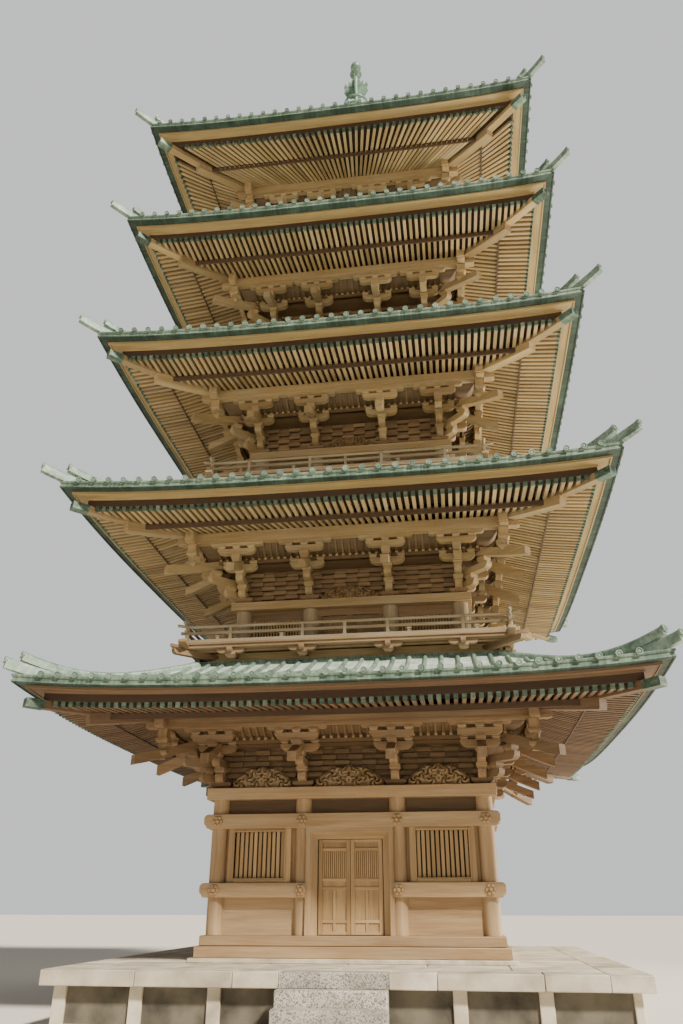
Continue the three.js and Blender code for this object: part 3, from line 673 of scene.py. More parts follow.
@dataclass(frozen=True, kw_only=True)
class Stone(Finish):
    """Sawn or dressed stone: a mottled ground with crystals."""

    dark: str
    light: str
    crystal: str = "#6f6a60"
    crystal_size: float = 0.012
    speckle: float

    def paint(self, tree: Tree, shader: bpy.types.Node) -> None:
        """Mottling of 500 mm, crystals at their size, drawn coarser than real so they show."""
        places = self.places(tree)
        mottle = add_node(tree, "ShaderNodeTexNoise", {
            "Vector": places, "Scale": 2.0, "Detail": 6.0}).outputs[0]
        colour = add_node(tree, "ShaderNodeValToRGB", {"Fac": mottle}, [(0.3, self.dark), (0.62, self.light)])
        crystals = add_node(tree, "ShaderNodeTexVoronoi", {"Vector": places, "Scale": 1 / self.crystal_size})
        colour = self.patched(tree, colour.outputs[0], crystals.outputs["Color"], (0.55, 0.7),
                              (self.speckle, self.crystal))
        colour = self.varied(tree, colour, 0.6, [(0.0, "#d0cdc6"), (1.0, "#ffffff")])
        self.dress(tree, shader, colour, 0.4, mottle)


LOWER_TIMBER = Timber("sun tanned zelkova", 0.62, dark="#85694a", middle="#b3946c", light="#d6bc94",
                      grey="#ac9c84", weathering=0.25)
UPPER_TIMBER = Timber("bleached zelkova", 0.68, dark="#836944", middle="#b09668", light="#d4bb8e",
                      grey="#aea28c", weathering=0.3)
# A browner copy of the zelkova, darkened in part as painted shade: the ground storey's bracket sets and
# purlin, the upper woven walls, waist sets, balcony floors and wall joinery.
BROWN_SHADE_TIMBER = Timber("brown zelkova with painted shade", 0.66, dark="#634b31", middle="#8e7250", light="#b69a72",
                      grey="#938470", weathering=0.25)
RAIL_TIMBER = Timber("grey weathered zelkova", 0.75, dark="#7d6c54", middle="#ab9878", light="#d2c09f",
                     grey="#b3a692", weathering=0.55)
DOOR_TIMBER = Timber("planed door zelkova", 0.55, dark="#96784f", middle="#c2a172", light="#dec196",
                     grey="#b0a084", weathering=0.12)
# Painted shade: a dark copy of the zelkova for the ground frieze, the ground storey's woven wall and every
# soffit.
SHADE_PAINTED_TIMBER = Timber("zelkova in painted shade", 0.66, dark="#4a3723", middle="#6f573a", light="#927752",
                       grey="#74654f", weathering=0.15)
# Painted shade: near-black decking that stands for the shade behind the rafters.
DECK_SHADE_TIMBER = Timber("eave decking in painted shade", 0.75, dark="#261a10", middle="#3a2a1b", light="#4d3a26",
                     grey="#3e3428", weathering=0.1)
# The lowest eaves' timber: a reddish zelkova, darkened as painted shade under the first roof.
RED_SHADE_TIMBER = Timber("reddish eave zelkova in painted shade", 0.66, dark="#4b3826", middle="#745a41", light="#9b7f5e",
                    grey="#7d6c58", weathering=0.2)
# Painted shade: a dark timber for the beam and upright board in the eaves' recess, and for the slats inside
# the windows.
RECESS_SHADE_TIMBER = Timber("recessed timber in painted shade", 0.75, dark="#33251a", middle="#4e3a28", light="#66503a",
                       grey="#514436", weathering=0.1)
CARVED_TIMBER = Timber("carved zelkova", 0.7, dark="#55422b", middle="#8f744f", light="#c6ab80",
                       grey="#a39984", weathering=0.3)
BOARD_TIMBER = Timber("golden eave boards", 0.6, dark="#7b6540", middle="#a38a5a", light="#cab482",
                      grey="#a59877", weathering=0.15)
FRAME_TIMBER = Timber("sawn floor timber", 0.7, Grain.OBJECT, dark="#7d6042", middle="#9a7852",
                      light="#b8946a")
# The sheets: a pale green patina, lightened almost to white as painted sunlight and sheen.
SUNLIT_ROOF_COPPER = PatinaCopper("green roof copper with painted sunlight", 0.45, dark="#9db4a6", middle="#cddace", light="#f0f5ec",
                           brown="#93917c")
# A darker copy of the roof's patina for the rolls, their ends and the hip ridges, darkened as painted shade.
SHADED_ROLL_COPPER = PatinaCopper("green ridge copper with painted shade", 0.45, dark="#50665a", middle="#7d9484", light="#b4c5b6",
                           brown="#6d6c58")
EDGE_COPPER = PatinaCopper("green edge copper", 0.5, dark="#3c5144", middle="#6a806f", light="#a3b5a2",
                           brown="#4a4636")
# Painted shade: the copper under the edge, near black.
SOFFIT_SHADE_COPPER = PatinaCopper("copper soffit in painted shade", 0.6, dark="#1d2a22", middle="#33473b", light="#567060",
                             brown="#38362a")
# A dark copy of the patina for the rafter sleeves, darkened as painted shade under the eaves.
SLEEVE_SHADE_COPPER = PatinaCopper("copper rafter sleeves with painted shade", 0.5, dark="#33463b", middle="#566c5c", light="#94a896",
                             brown="#565441")
BRONZE = PatinaCopper("green cast bronze", 0.42, dark="#4d6a5b", middle="#76947f", light="#adc2b0",
                      brown="#4d4332")
PODIUM_STONE = Stone("sawn pale stone", 0.85, dark="#a99f8b", light="#ddd3bd", speckle=0.12)
PANEL_STONE = Stone("weathered panel stone", 0.9, dark="#3f3b33", light="#7b7466", speckle=0.2)
STEP_GRANITE = Stone("speckled granite", 0.75, dark="#a39c90", light="#cfc8ba", crystal="#4d4a45",
                     crystal_size=0.016, speckle=0.75)


# Sizes that the storeys share, and those of one storey that the frame's boxes don't give

INNER_COLUMNS = (0.88, 0.85, 0.80, 0.75, 0.70)
STOREYS = len(INNER_COLUMNS)
WALL_BACK = 0.045
PLATE_OVERHANG = 0.24
FASCIA_HEIGHT = 0.17
PURLIN_OUT = 0.95
PURLIN_HALF = 0.09
PURLIN_FACE = PURLIN_OUT + PURLIN_HALF
RAFTER_START = 0.70
FLYING_LENGTH = 1.25
FLYING_RISE = 0.10
RAFTER_SETBACK = 0.45
BASE_STEP = 0.09
EAVE_BOARDS = 0.23
BOARD_SETBACK = 0.19
COPPER_FOOT = 0.045
CORNER_LIFT = 0.19
BALCONY_OUT = 1.00
RAIL_OUT = 0.92
EDGE_BEAM_END = 0.24
EDGE_BEAM_HEIGHT = 0.13
WAIST_OUT = 0.40
ROOF_RISE = 0.90
TOP_ROOF_RISE = 2.26
ROOF_SAG = 0.22
TOP_ROOF_SAG = 0.30
CREST_OUT = 0.69
TOP_CREST = 0.38
EAVE_PLACES = 24
ROOF_PLACES = 32
# Each scroll of a carved strut: its place along and up the strut, and the way that it winds
SCROLLS = ((0.74, 0.22, 1), (0.48, 0.5, -1), (0.22, 0.28, 1), (0.2, 0.78, -1), (0.0, 0.45, 1))
SCROLL_WINDING = 27
SCROLL_DEPTH = 0.16


@dataclass(frozen=True)
class Level:
    """One storey's driving sizes, all from the frame."""

    number: int
    line: float
    inner: float
    floor: float
    plate: float
    eave: float
    edge: float
    above: float

    @property
    def name(self) -> str:
        """The storey's part of a piece's name."""
        return f"storey{self.number}"

    @property
    def top(self) -> bool:
        """Whether this is the highest storey."""
        return self.number == STOREYS

    @property
    def columns(self) -> tuple[float, float, float, float]:
        """The places of a side's four columns."""
        return (-self.line, -self.inner, self.inner, self.line)

    @property
    def bay(self) -> float:
        """The middle of a side's right bay."""
        return (self.line + self.inner) / 2

    def both_bays(self, across: Array) -> Array:
        """Places across a side bay, in the left bay and in the right one."""
        return np.concatenate([across - self.bay, across + self.bay])

    def lift(self, along: Array, half: Array) -> Array:
        """The corners' rise: L |a|^3 t^2, with t from 0 at the purlin to 1 at the eave's edge."""
        still = self.line + PURLIN_FACE
        out = np.clip((half - still) / (self.edge - still), 0.0, 1.2)
        return CORNER_LIFT * np.abs(along) ** 3 * out ** 2

    @property
    def crest(self) -> float:
        """Half the width of the roof's upper edge."""
        return TOP_CREST if self.top else self.above + CREST_OUT

    def plate_beams(self, height: float) -> Form:
        """The beams of the plate over the columns, with the given height."""
        span = (self.plate - height, self.plate)
        return lapped_square(self.line + PLATE_OVERHANG, self.line - PLATE_OVERHANG, span)

    def roof(self, share: Array) -> tuple[Array, Array]:
        """The roof's half width and height at a share of its slope, from the eave up.

        The height is a straight rise less 2 sag s (1 - s) of it.
        """
        rise = TOP_ROOF_RISE if self.top else ROOF_RISE
        sag = TOP_ROOF_SAG if self.top else ROOF_SAG
        half = self.edge + (self.crest - self.edge) * share
        return half, self.eave + FASCIA_HEIGHT + rise * (share - 2 * sag * share * (1 - share))

    def roof_height(self, half: Array) -> Array:
        """The roof's height at a half width, before the corner's lift."""
        share = (self.edge - half) / (self.edge - self.crest)
        return self.roof(share)[1]


def read_levels() -> list[Level]:
    """Work the storeys' sizes out from the frame's nodes."""
    lines = []
    for number in range(1, STOREYS + 1):
        holder = "storey1_frame" if number == 1 else f"storey{number}_walls"
        lines.append(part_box(holder)[1][0] - PLATE_OVERHANG)
    levels = []
    for number in range(1, STOREYS + 1):
        name = f"storey{number}"
        floor = "ground_floor" if number == 1 else f"{name}_balcony"
        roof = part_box(f"{name}_roof")
        levels.append(Level(
            number, lines[number - 1], INNER_COLUMNS[number - 1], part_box(floor)[1][2],
            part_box(f"{name}_brackets")[0][2], roof[0][2], roof[1][0],
            lines[number] if number < STOREYS else 0.0))
    return levels


# Podium


@dataclass
class Podium:
    """The stone podium: cap slabs, panels between posts, a foot course and the steps."""

    cap_half: float = 4.63
    cap_height: float = 0.22
    cap_slabs: int = 6
    slab_depth: float = 0.62
    base_half: float = 4.45
    post_width: float = 0.21
    post_gaps: int = 7
    post_proud: float = 0.05
    foot_height: float = 0.12
    step_half: float = 0.83
    tread: float = 0.28
    steps: int = 3
    paving: int = 6
    top_stone: float = 0.36
    plinth_band: Triple = (2.60, 2.84, 0.07)
    top: float = field(init=False, default=0.0)

    def build(self) -> None:
        """Build and dress the podium."""
        self.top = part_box("podium_cap")[1][2]
        add_piece("podium_cap_slabs", self.cap(), PODIUM_STONE,
                  replaces=("podium_cap",), bevel=0.012)
        add_piece("podium_panels", self.panels(), PANEL_STONE, replaces=("podium_base",))
        add_piece("podium_posts", self.posts(), PODIUM_STONE, bevel=0.01)
        add_piece("granite_steps", self.stair(), STEP_GRANITE,
                  replaces=("front_steps",), bevel=0.012)
        add_piece("column_plinth", self.plinth(), PODIUM_STONE, bevel=0.01)

    def cap(self) -> Form:
        """Edge slabs with fine joints round a paved middle, open in front for the top stone."""
        low = self.top - self.cap_height
        inner = self.cap_half - self.slab_depth
        pitch = 2 * self.cap_half / self.cap_slabs
        parts = []
        for quarter in QUARTERS:
            for index in range(self.cap_slabs):
                x0 = -self.cap_half + index * pitch + JOINT
                x1 = x0 + pitch - 2 * JOINT
                if index == self.cap_slabs - 1:
                    x1 -= self.slab_depth
                if quarter == 0 and x0 < -self.step_half < x1:
                    x1 = -self.step_half - JOINT
                elif quarter == 0 and x0 < self.step_half < x1:
                    x0 = self.step_half + JOINT
                parts.append(turned(box(x0, x1, -self.cap_half, -inner, low, self.top), quarter))
        cell = 2 * inner / self.paving
        x, y = np.meshgrid(*2 * [-inner + cell * np.arange(self.paving) + JOINT])
        lows = np.column_stack([x.ravel(), y.ravel(), np.full(x.size, low)])
        paved = cell - 2 * JOINT
        parts.append(boxes(lows, lows + np.array([paved, paved, self.cap_height])))
        behind = self.cap_half - self.top_stone - JOINT
        parts.append(box(-self.step_half, self.step_half, -behind, -inner, low, self.top))
        return merge(parts)

    def panels(self) -> Form:
        """The plain walls behind the posts."""
        half = self.base_half - self.post_proud
        return box(-half, half, -half, half, 0.0, self.top - self.cap_height)

    def posts(self) -> Form:
        """Posts at an even pitch, and the foot course between them."""
        pitch = (2 * self.base_half - self.post_width) / self.post_gaps
        middles = -self.base_half + self.post_width / 2 + pitch * np.arange(self.post_gaps)
        inside = self.base_half - 2.5 * self.post_proud
        half = self.base_half - self.post_proud * 0.3
        foot = box(-half, half, -half, -inside, 0.0, self.foot_height)
        depth, span = (-self.base_half, -inside), (0.0, self.top - self.cap_height)
        return four_sides(merge([box_row(middles, self.post_width, depth, span), foot]))

    def stair(self) -> Form:
        """The top stone let into the cap, and the treads below it."""
        rise = self.top / (self.steps + 1)
        half, front = self.step_half, self.cap_half
        parts = [box(-half, half, -front, -front + self.top_stone, self.top - self.cap_height, self.top)]
        for index in range(self.steps):
            near = front + index * self.tread
            height = self.top - (index + 1) * rise
            parts.append(box(-half, half, -near - self.tread + JOINT, -near, 0.0, height))
        return merge(parts)

    def plinth(self) -> Form:
        """A low stone course under the timber sills."""
        inner, outer, height = self.plinth_band
        return square_ring(rectangle(inner, outer, self.top, self.top + height))


# Ground storey


@dataclass
class GroundStorey:
    """The ground storey: sills, columns, tie beams with rosettes, windows and doors."""

    level: Level
    column_radius: float = 0.155
    # Each sill's half width, foot and top. Heights of this storey are above the podium
    lower_sill: Triple = (2.76, 0.07, 0.255)
    upper_sill: Triple = (2.69, 0.255, 0.42)
    sill_inner: float = 2.35
    sill_gap: float = 0.003
    waist: Span = (1.02, 1.26)
    head: Span = (2.18, 2.43)
    plate_height: float = 0.21
    beam_out: float = 0.22
    beam_back: float = 0.02
    beam_end: float = 0.27
    board_proud: float = 0.03
    board_margin: float = 0.055
    window: Span = (1.34, 2.12)
    window_half: float = 0.47
    # The frame and the bead round a window: how wide, and how far out from the column line
    window_rims: tuple[Span, ...] = ((0.12, 0.14), (0.03, 0.16))
    bar_count: int = 11
    rail_places: Span = (0.36, 0.68)
    rail_depths: Span = (0.036, 0.052)
    rail_half: float = 0.02
    door_half: float = 0.601
    door_head: float = 1.99
    door_frame_half: float = 0.80
    frame_proud: float = 0.20
    rosette_radius: float = 0.10
    leaf_stile: float = 0.075
    leaf_rail: float = 0.05
    leaf_proud: float = 0.025
    # Where a leaf's rails stand and where its thin board ends, as shares of its height
    leaf_marks: tuple[float, ...] = (0.0, 0.12, 0.46, 0.55, 0.875)
    leaf_board: float = 0.56
    leaf_slats: int = 12
    leaf_clear: float = 0.007
    pair_gap: float = 0.003
    pin_radius: float = 0.018
    pin_place: float = 0.56
    base: float = field(init=False, default=0.0)

    def build(self) -> None:
        """Build and dress the ground storey."""
        self.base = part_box("podium_cap")[1][2]
        wood = LOWER_TIMBER
        add_piece("ground_sills", self.sills(), wood, replaces=("ground_sill",), bevel=0.012)
        add_piece("ground_columns", self.columns(), wood, replaces=("storey1_frame",))
        add_piece("ground_plate", self.plate(), wood, bevel=0.01)
        add_piece("ground_beams", self.beams(), wood, replaces=(
            "front_wall_left", "front_wall_right", "front_door_frame", "left_wall", "right_wall",
            "back_wall"), bevel=0.008)
        add_piece("ground_boards", self.boards(), wood)
        add_piece("ground_frieze", self.frieze(), SHADE_PAINTED_TIMBER)
        add_piece("window_frames", self.window_frames(), DOOR_TIMBER, bevel=0.006)
        add_piece("window_bars", self.window_bars(), DOOR_TIMBER)
        add_piece("window_inner_slats", self.inner_slats(), RECESS_SHADE_TIMBER)
        add_piece("door_frames", self.door_frames(), wood)
        add_piece("rosettes", self.rosettes(), wood)
        add_piece("fixed_doors", self.fixed_doors(), DOOR_TIMBER, bevel=0.004)
        for side, sign in (("left", -1.0), ("right", 1.0)):
            leaf = self.leaf(sign)
            add_piece(f"leaf_{side}_joinery", leaf, DOOR_TIMBER, body=f"leaf_{side}",
                      replaces=(f"door_leaf_{side}",), bevel=0.004)

    def sills(self) -> Form:
        """Two courses of heavy sill, each side a beam that laps its neighbours."""
        courses = []
        for half, low, high in (self.lower_sill, self.upper_sill):
            span = (self.base + low, self.base + high - self.sill_gap)
            courses.append(lapped_square(half, self.sill_inner, span))
        return merge(courses)

    def columns(self) -> Form:
        """Twelve round columns, a little drawn in at the foot and the head."""
        foot, head = self.level.floor, self.level.plate - self.plate_height
        radius, ease = self.column_radius, 0.2
        neck = 0.97 * radius
        shaft = [(neck, foot), (radius, foot + ease), (radius, head - ease), (neck, head)]
        front = [lathe(shaft, 32, (x, -self.level.line)) for x in self.level.columns[:3]]
        return toned(four_sides(merge(front)), 0.75)

    def plate(self) -> Form:
        """The flat plate over the columns."""
        return toned(self.level.plate_beams(self.plate_height), 0.8)

    def tail(self, low: float, high: float) -> Outline:
        """A beam's carved end, from its foot to its top: a hollow, a blunt nose and a chamfer."""
        far = self.level.line + self.beam_end
        turn = np.linspace(-math.pi / 2, 0.0, 4)
        hollow = list(zip(far - 0.09 + 0.05 * np.cos(turn), low + 0.05 + 0.05 * np.sin(turn)))
        return hollow + [(far - 0.01, low + 0.07), (far, low + 0.10), (far, high - 0.05),
                         (far - 0.04, high - 0.01), (far - 0.08, high)]

    def beam(self, quarter: int, low: float, high: float, over_door: bool) -> Form:
        """One side's tie beam outside the columns, in two lengths where the door breaks it.

        The front and back beams run past the corner columns to carved ends.
        """
        line, half = self.level.line, self.door_frame_half
        z0, z1 = self.base + low, self.base + high
        tail = [(line - JOINT, z0), (line - JOINT, z1)] if quarter % 2 else self.tail(z0, z1)
        mirrored = [(-x, z) for x, z in tail[::-1]]
        lengths = [mirrored + tail]
        if not over_door:
            lengths = [[(-half, z0), (-half, z1)] + mirrored, [(half, z1), (half, z0)] + tail]
        depth = self.beam_out - self.beam_back
        shift = (0.0, -line - self.beam_back - depth / 2, 0.0)
        return turned(merge([moved(prism(outline, depth), shift) for outline in lengths]), quarter)

    def beams(self) -> Form:
        """Waist and head beams on all sides, their grain along each."""
        made = []
        for quarter in QUARTERS:
            for low, high, over_door in ((*self.waist, False), (*self.head, True)):
                made.append(self.beam(quarter, low, high, over_door))
        return toned(merge(made), 0.85)

    def boards(self) -> Form:
        """Wall boards: panels under, beside and over each window."""
        level, margin = self.level, self.board_margin
        y0, y1 = -level.line - self.board_proud, -level.line + WALL_BACK
        z0, z1 = self.base + self.window[0] - margin, self.base + self.window[1] + margin
        outer = self.window_half + margin
        parts = []
        for sign in (-1, 1):
            middle = sign * level.bay
            near, far = sorted((sign * level.inner, sign * level.line))
            parts.append(box(near, far, y0, y1, level.floor, z0))
            parts.append(box(near, middle - outer, y0, y1, z0, z1))
            parts.append(box(middle + outer, far, y0, y1, z0, z1))
            parts.append(box(near, far, y0, y1, z1, self.base + self.head[0]))
        return four_sides(merge(parts))

    def frieze(self) -> Form:
        """The band of boards between the head beam and the plate, back at the columns' axes, dark with
        painted shade.
        """
        line, foot, head = self.level.line, self.base + self.head[0], self.level.plate - self.plate_height
        return toned(four_sides(box(-line, line, -line, -line + WALL_BACK, foot, head)), 0.2)

    def window_frames(self) -> Form:
        """A broad frame round each window, a bead inside it, and two rails behind the slats."""
        line, near = self.level.line, self.window_half
        z0, z1 = self.base + self.window[0], self.base + self.window[1]
        parts = []
        for x in (-self.level.bay, self.level.bay):
            for wide, proud in self.window_rims:
                edge = near + wide
                top = z1 + min(wide, self.head[0] - self.window[1])
                y0, y1 = -line - proud, -line + WALL_BACK
                parts.append(box(x - edge, x - near, y0, y1, z0 - wide, top))
                parts.append(box(x + near, x + edge, y0, y1, z0 - wide, top))
                parts.append(box(x - near, x + near, y0, y1, z0 - wide, z0))
                parts.append(box(x - near, x + near, y0, y1, z1, top))
            for share in self.rail_places:
                z = z0 + (z1 - z0) * share
                y0, y1 = (-line + depth for depth in self.rail_depths)
                parts.append(box(x - near, x + near, y0, y1, z - self.rail_half, z + self.rail_half))
        return four_sides(merge(parts))

    def window_bars(self) -> Form:
        """Upright flat-faced bars, with a gap of half a bar between them."""
        return self.upright_bars(0.5, -0.06, 0.057, 0.06)

    def inner_slats(self) -> Form:
        """A second row of upright slats inside, behind the gaps of the first, dark as painted shade."""
        return toned(self.upright_bars(1.0, 0.025, 0.05, 0.02), 0.0)

    def upright_bars(self, phase: float, depth: float, width: float, thick: float) -> Form:
        """A row of bars in every window.

        Args:
            phase: Where in its pitch each bar stands.
            depth: How far inside the column line the row stands.
            width: The bars' width along the wall.
            thick: Their thickness.

        Returns:
            The bars of all four sides.
        """
        span = (self.base + self.window[0], self.base + self.window[1])
        pitch = 2 * self.window_half / self.bar_count
        across = -self.window_half + pitch * (np.arange(self.bar_count - int(phase)) + phase)
        return four_sides(bar_row(self.level.both_bays(across), -self.level.line + depth, span, width, thick))

    def door_frames(self) -> Form:
        """Door surrounds whose face falls in a wide bevel to the opening.

        The section runs from the opening's edge out to the frame's outer edge and is carried
        up one jamb, across the head and down the other.
        """
        foot, head = self.level.floor, self.base + self.door_head
        half, proud = self.door_half, self.frame_proud
        wide = self.door_frame_half - half
        width, depth = np.array([(0.0, -0.06), (0.0, 0.06), (0.02, 0.075), (0.105, proud - 0.02),
                                 (0.12, proud), (wide, proud), (wide, -WALL_BACK)]).T
        over = head + width * (self.base + self.head[0] - head) / wide
        under = np.full(len(width), foot)
        corners = []
        for sign, z in ((-1, under), (-1, over), (1, over), (1, under)):
            corners.append(np.column_stack([sign * (half + width), -self.level.line - depth, z]))
        points = np.stack(corners)
        run = np.linalg.norm(np.diff(points, axis=0, prepend=points[:1]), axis=2).cumsum(axis=0)
        grain = np.stack([run, 0 * run + width, 0 * run + depth], axis=-1)
        return toned(four_sides(stacked(points, grain)), 0.7)

    def rosettes(self) -> Form:
        """Six-petalled bosses where the beams cross the columns.

        The radius is R (0.78 + 0.22 |cos 3t|^0.6). Each petal is a dome that falls to the rim
        and to its neighbours, round a raised eye.
        """
        turn = np.linspace(0.0, 2 * math.pi, 48, endpoint=False)
        petal = np.abs(np.cos(3 * turn)) ** 0.6
        # For each ring: its share of the radius, how proud it stands and how far its petals swell
        petals = ((1.0, 0.0, 0.0), (1.0, 0.015, 0.0), (0.85, 0.03, 0.022), (0.62, 0.032, 0.03))
        eye = ((0.42, 0.022, 0.01), (0.36, 0.02, 0.0), (0.34, 0.05, 0.0), (0.2, 0.065, 0.0),
               (0.04, 0.07, 0.0))
        rings = []
        for scale, proud, swell in petals + eye:
            waves = 0.78 + 0.22 * petal if scale > 0.5 else 1.0 + 0 * petal
            reach = self.rosette_radius * scale * waves
            depth = proud + swell * (petal - 0.5)
            rings.append(np.column_stack([reach * np.cos(turn), -depth, reach * np.sin(turn)]))
        frames = []
        for low, high in (self.waist, self.head):
            for x in self.level.columns:
                frame = np.eye(4)
                frame[:3, 3] = (x, -self.level.line - self.beam_out, self.base + (low + high) / 2)
                frames.append(frame)
        return toned(four_sides(repeated(stacked(np.stack(rings)), np.array(frames))), 0.9)

    def panel_leaf(self, x0: float, x1: float, z0: float, z1: float, y: float) -> Form:
        """A panelled leaf: stiles and rails, a small head panel, slats, and low panels."""
        stile, rail, proud = self.leaf_stile, self.leaf_rail, self.leaf_proud
        height = z1 - z0
        left, right, board = x0 + stile, x1 - stile, z0 + self.leaf_board * height
        parts = [
            box(x0, left, y - proud, y + proud, z0, z1),
            box(right, x1, y - proud, y + proud, z0, z1),
            toned(box(left, right, y + 0.001, y + 0.008, z0, board), 0.6),
            # The head panel sits back with the lowest tone: painted shade in its slot.
            toned(box(left, right, y + 0.014, y + 0.022, board, z1), 0.0),
        ]
        lows = [z0 + mark * height for mark in self.leaf_marks] + [z1 - rail]
        for low in lows:
            parts.append(box(left, right, y - proud + 0.003, y + proud - 0.003, low, low + rail))
        middle, muntin = (x0 + x1) / 2, rail / 2
        for low, high in zip(lows[:2], lows[1:3]):
            parts.append(box(middle - muntin, middle + muntin, y - proud + 0.006, y + 0.01, low + rail, high))
        pitch = (right - left) / self.leaf_slats
        x = left + pitch * (np.arange(self.leaf_slats) + 0.5)
        slats = box_row(x, pitch * 0.54, (y - 0.016, y + 0.015), (lows[3] + rail, lows[4]))
        return merge(parts + [toned(slats, 1.0)])

    def leaf(self, sign: float) -> Form:
        """One of the front leaves, where the frame's leaf stands, with its pivot pin."""
        low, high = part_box("door_leaf_left" if sign < 0 else "door_leaf_right")
        y = (low[1] + high[1]) / 2
        pin = lathe([(self.pin_radius, low[2]), (self.pin_radius, high[2])], 16, (sign * self.pin_place, y))
        panels = self.panel_leaf(low[0], high[0], low[2] + self.leaf_clear, high[2] - self.leaf_clear, y)
        return merge([panels, pin])

    def fixed_doors(self) -> Form:
        """The closed pairs on the other sides."""
        line, half, gap = self.level.line, self.door_half, self.pair_gap
        foot, head = self.level.floor + JOINT, self.base + self.door_head - JOINT
        pair = merge([
            self.panel_leaf(-half + 2 * gap, -gap, foot, head, -line),
            self.panel_leaf(gap, half - 2 * gap, foot, head, -line),
        ])
        return merge([turned(pair, quarter) for quarter in (1, 2, 3)])


# Bracket zone


def upturn(end: float, curve: float, length: float) -> Array:
    """An arm's underside at its end: a quarter round of a length and a rise, as x, z points."""
    turn = np.linspace(0.0, math.pi / 2, 5)
    return np.column_stack([end - length + length * np.sin(turn), curve * (1 - np.cos(turn))])


def boat_arm(length: float, height: float, width: float) -> Form:
    """A bracket arm along x: flat on top, its underside curving up to each end."""
    half, curve = length / 2, 0.9 * height
    right = upturn(half, curve, 1.3 * curve)
    left = np.column_stack([-right[::-1, 0], right[::-1, 1]])
    return prism(np.concatenate([left, right, [[half, height], [-half, height]]]), width)


def nose(reach: float, height: float, width: float) -> Form:
    """An arm that points out along x, its underside curving up to its end."""
    curve, back = 0.7 * height, -0.05
    end = upturn(reach, curve, curve)
    return prism(np.concatenate([[[back, 0.0]], end, [[reach, height], [back, height]]]), width)


def carving(middle: float, half: float, foot: float, height: float, face: float) -> Form:
    """An arched strut carved with leaf scrolls, with its back to the wall.

    The outline is an arch, h = H (0.12 + 0.88 (1 - |u|^2.4)^0.7), with a finely lobed rim. Each
    scroll raises the face by exp(-(r / R)^2) |cos(k r - turn)|^0.6, its arms winding one way or
    the other, so that ridges stand clear of deep hollows.
    """
    u = np.linspace(-1.0, 1.0, 101)[:, None]
    v = np.linspace(0.0, 1.0, 25)[None, :]
    lobes = 1 + 0.06 * np.cos(15 * u)
    z = v * height * (0.12 + 0.88 * (1 - np.abs(u) ** 2.4) ** 0.7) * lobes
    x = half * u + 0 * v
    relief = 0.0 * z
    for share, rise, curl in SCROLLS:
        for sign in (-1, 1):
            dx, dz = x - sign * share * half, z - rise * height
            radius = np.hypot(dx, dz)
            winding = SCROLL_WINDING * radius - 2 * sign * curl * np.arctan2(dz, dx)
            ridge = np.abs(np.cos(winding)) ** 0.6
            relief = np.maximum(relief, np.exp(-(radius / (0.42 * height)) ** 2) * ridge)
    proud = 0.01 + SCROLL_DEPTH * relief * np.clip(6 * (1 - v) + 0.35, 0, 1)
    top = np.stack([middle + x, face - proud, foot + z], axis=-1)
    back = np.stack([middle + x, 0 * z + face + 0.05, foot + z], axis=-1)
    return shell(top, back)


def bearing_block(width: float, height: float) -> Form:
    """A block whose lower half draws in on a hollow curve."""
    corners = np.array([[-1, -1], [1, -1], [1, 1], [-1, 1]]) * width / 2
    rings = []
    for rise, wide in ((0.0, 0.66), (0.12, 0.72), (0.3, 0.84), (0.5, 1.0), (1.0, 1.0)):
        rings.append(np.column_stack([corners * wide, np.full(4, height * rise)]))
    return stacked(np.stack(rings))


def placed(form: Form, x: float, out: float, z: float, angle: float = 0.0) -> Form:
    """A form in a set's own frame: x along the wall, out from it, z up, turned by an angle."""
    frame = np.array(Matrix.Translation((x, -out, z)) @ Matrix.Rotation(angle, 4, "Z"))
    return repeated(form, frame[None])


def set_frames(columns: tuple[float, ...], out: float, height: float) -> tuple[Array, Array]:
    """Frames for sets that stand out from the axis at a height.

    Args:
        columns: The places of a side's sets.
        out: Half the width of the square that they stand on.
        height: The height of their feet.

    Returns:
        The frames at the columns of every side, and those on the four diagonals.
    """
    straight = []
    diagonal = []
    for quarter in QUARTERS:
        turn = Matrix.Rotation(quarter * math.pi / 2, 4, "Z")
        straight += [np.array(turn @ Matrix.Translation((x, -out, height))) for x in columns]
        turn = Matrix.Rotation((quarter + 0.5) * math.pi / 2, 4, "Z")
        diagonal.append(np.array(turn @ Matrix.Translation((0, -out * math.sqrt(2), height))))
    return np.array(straight), np.array(diagonal)


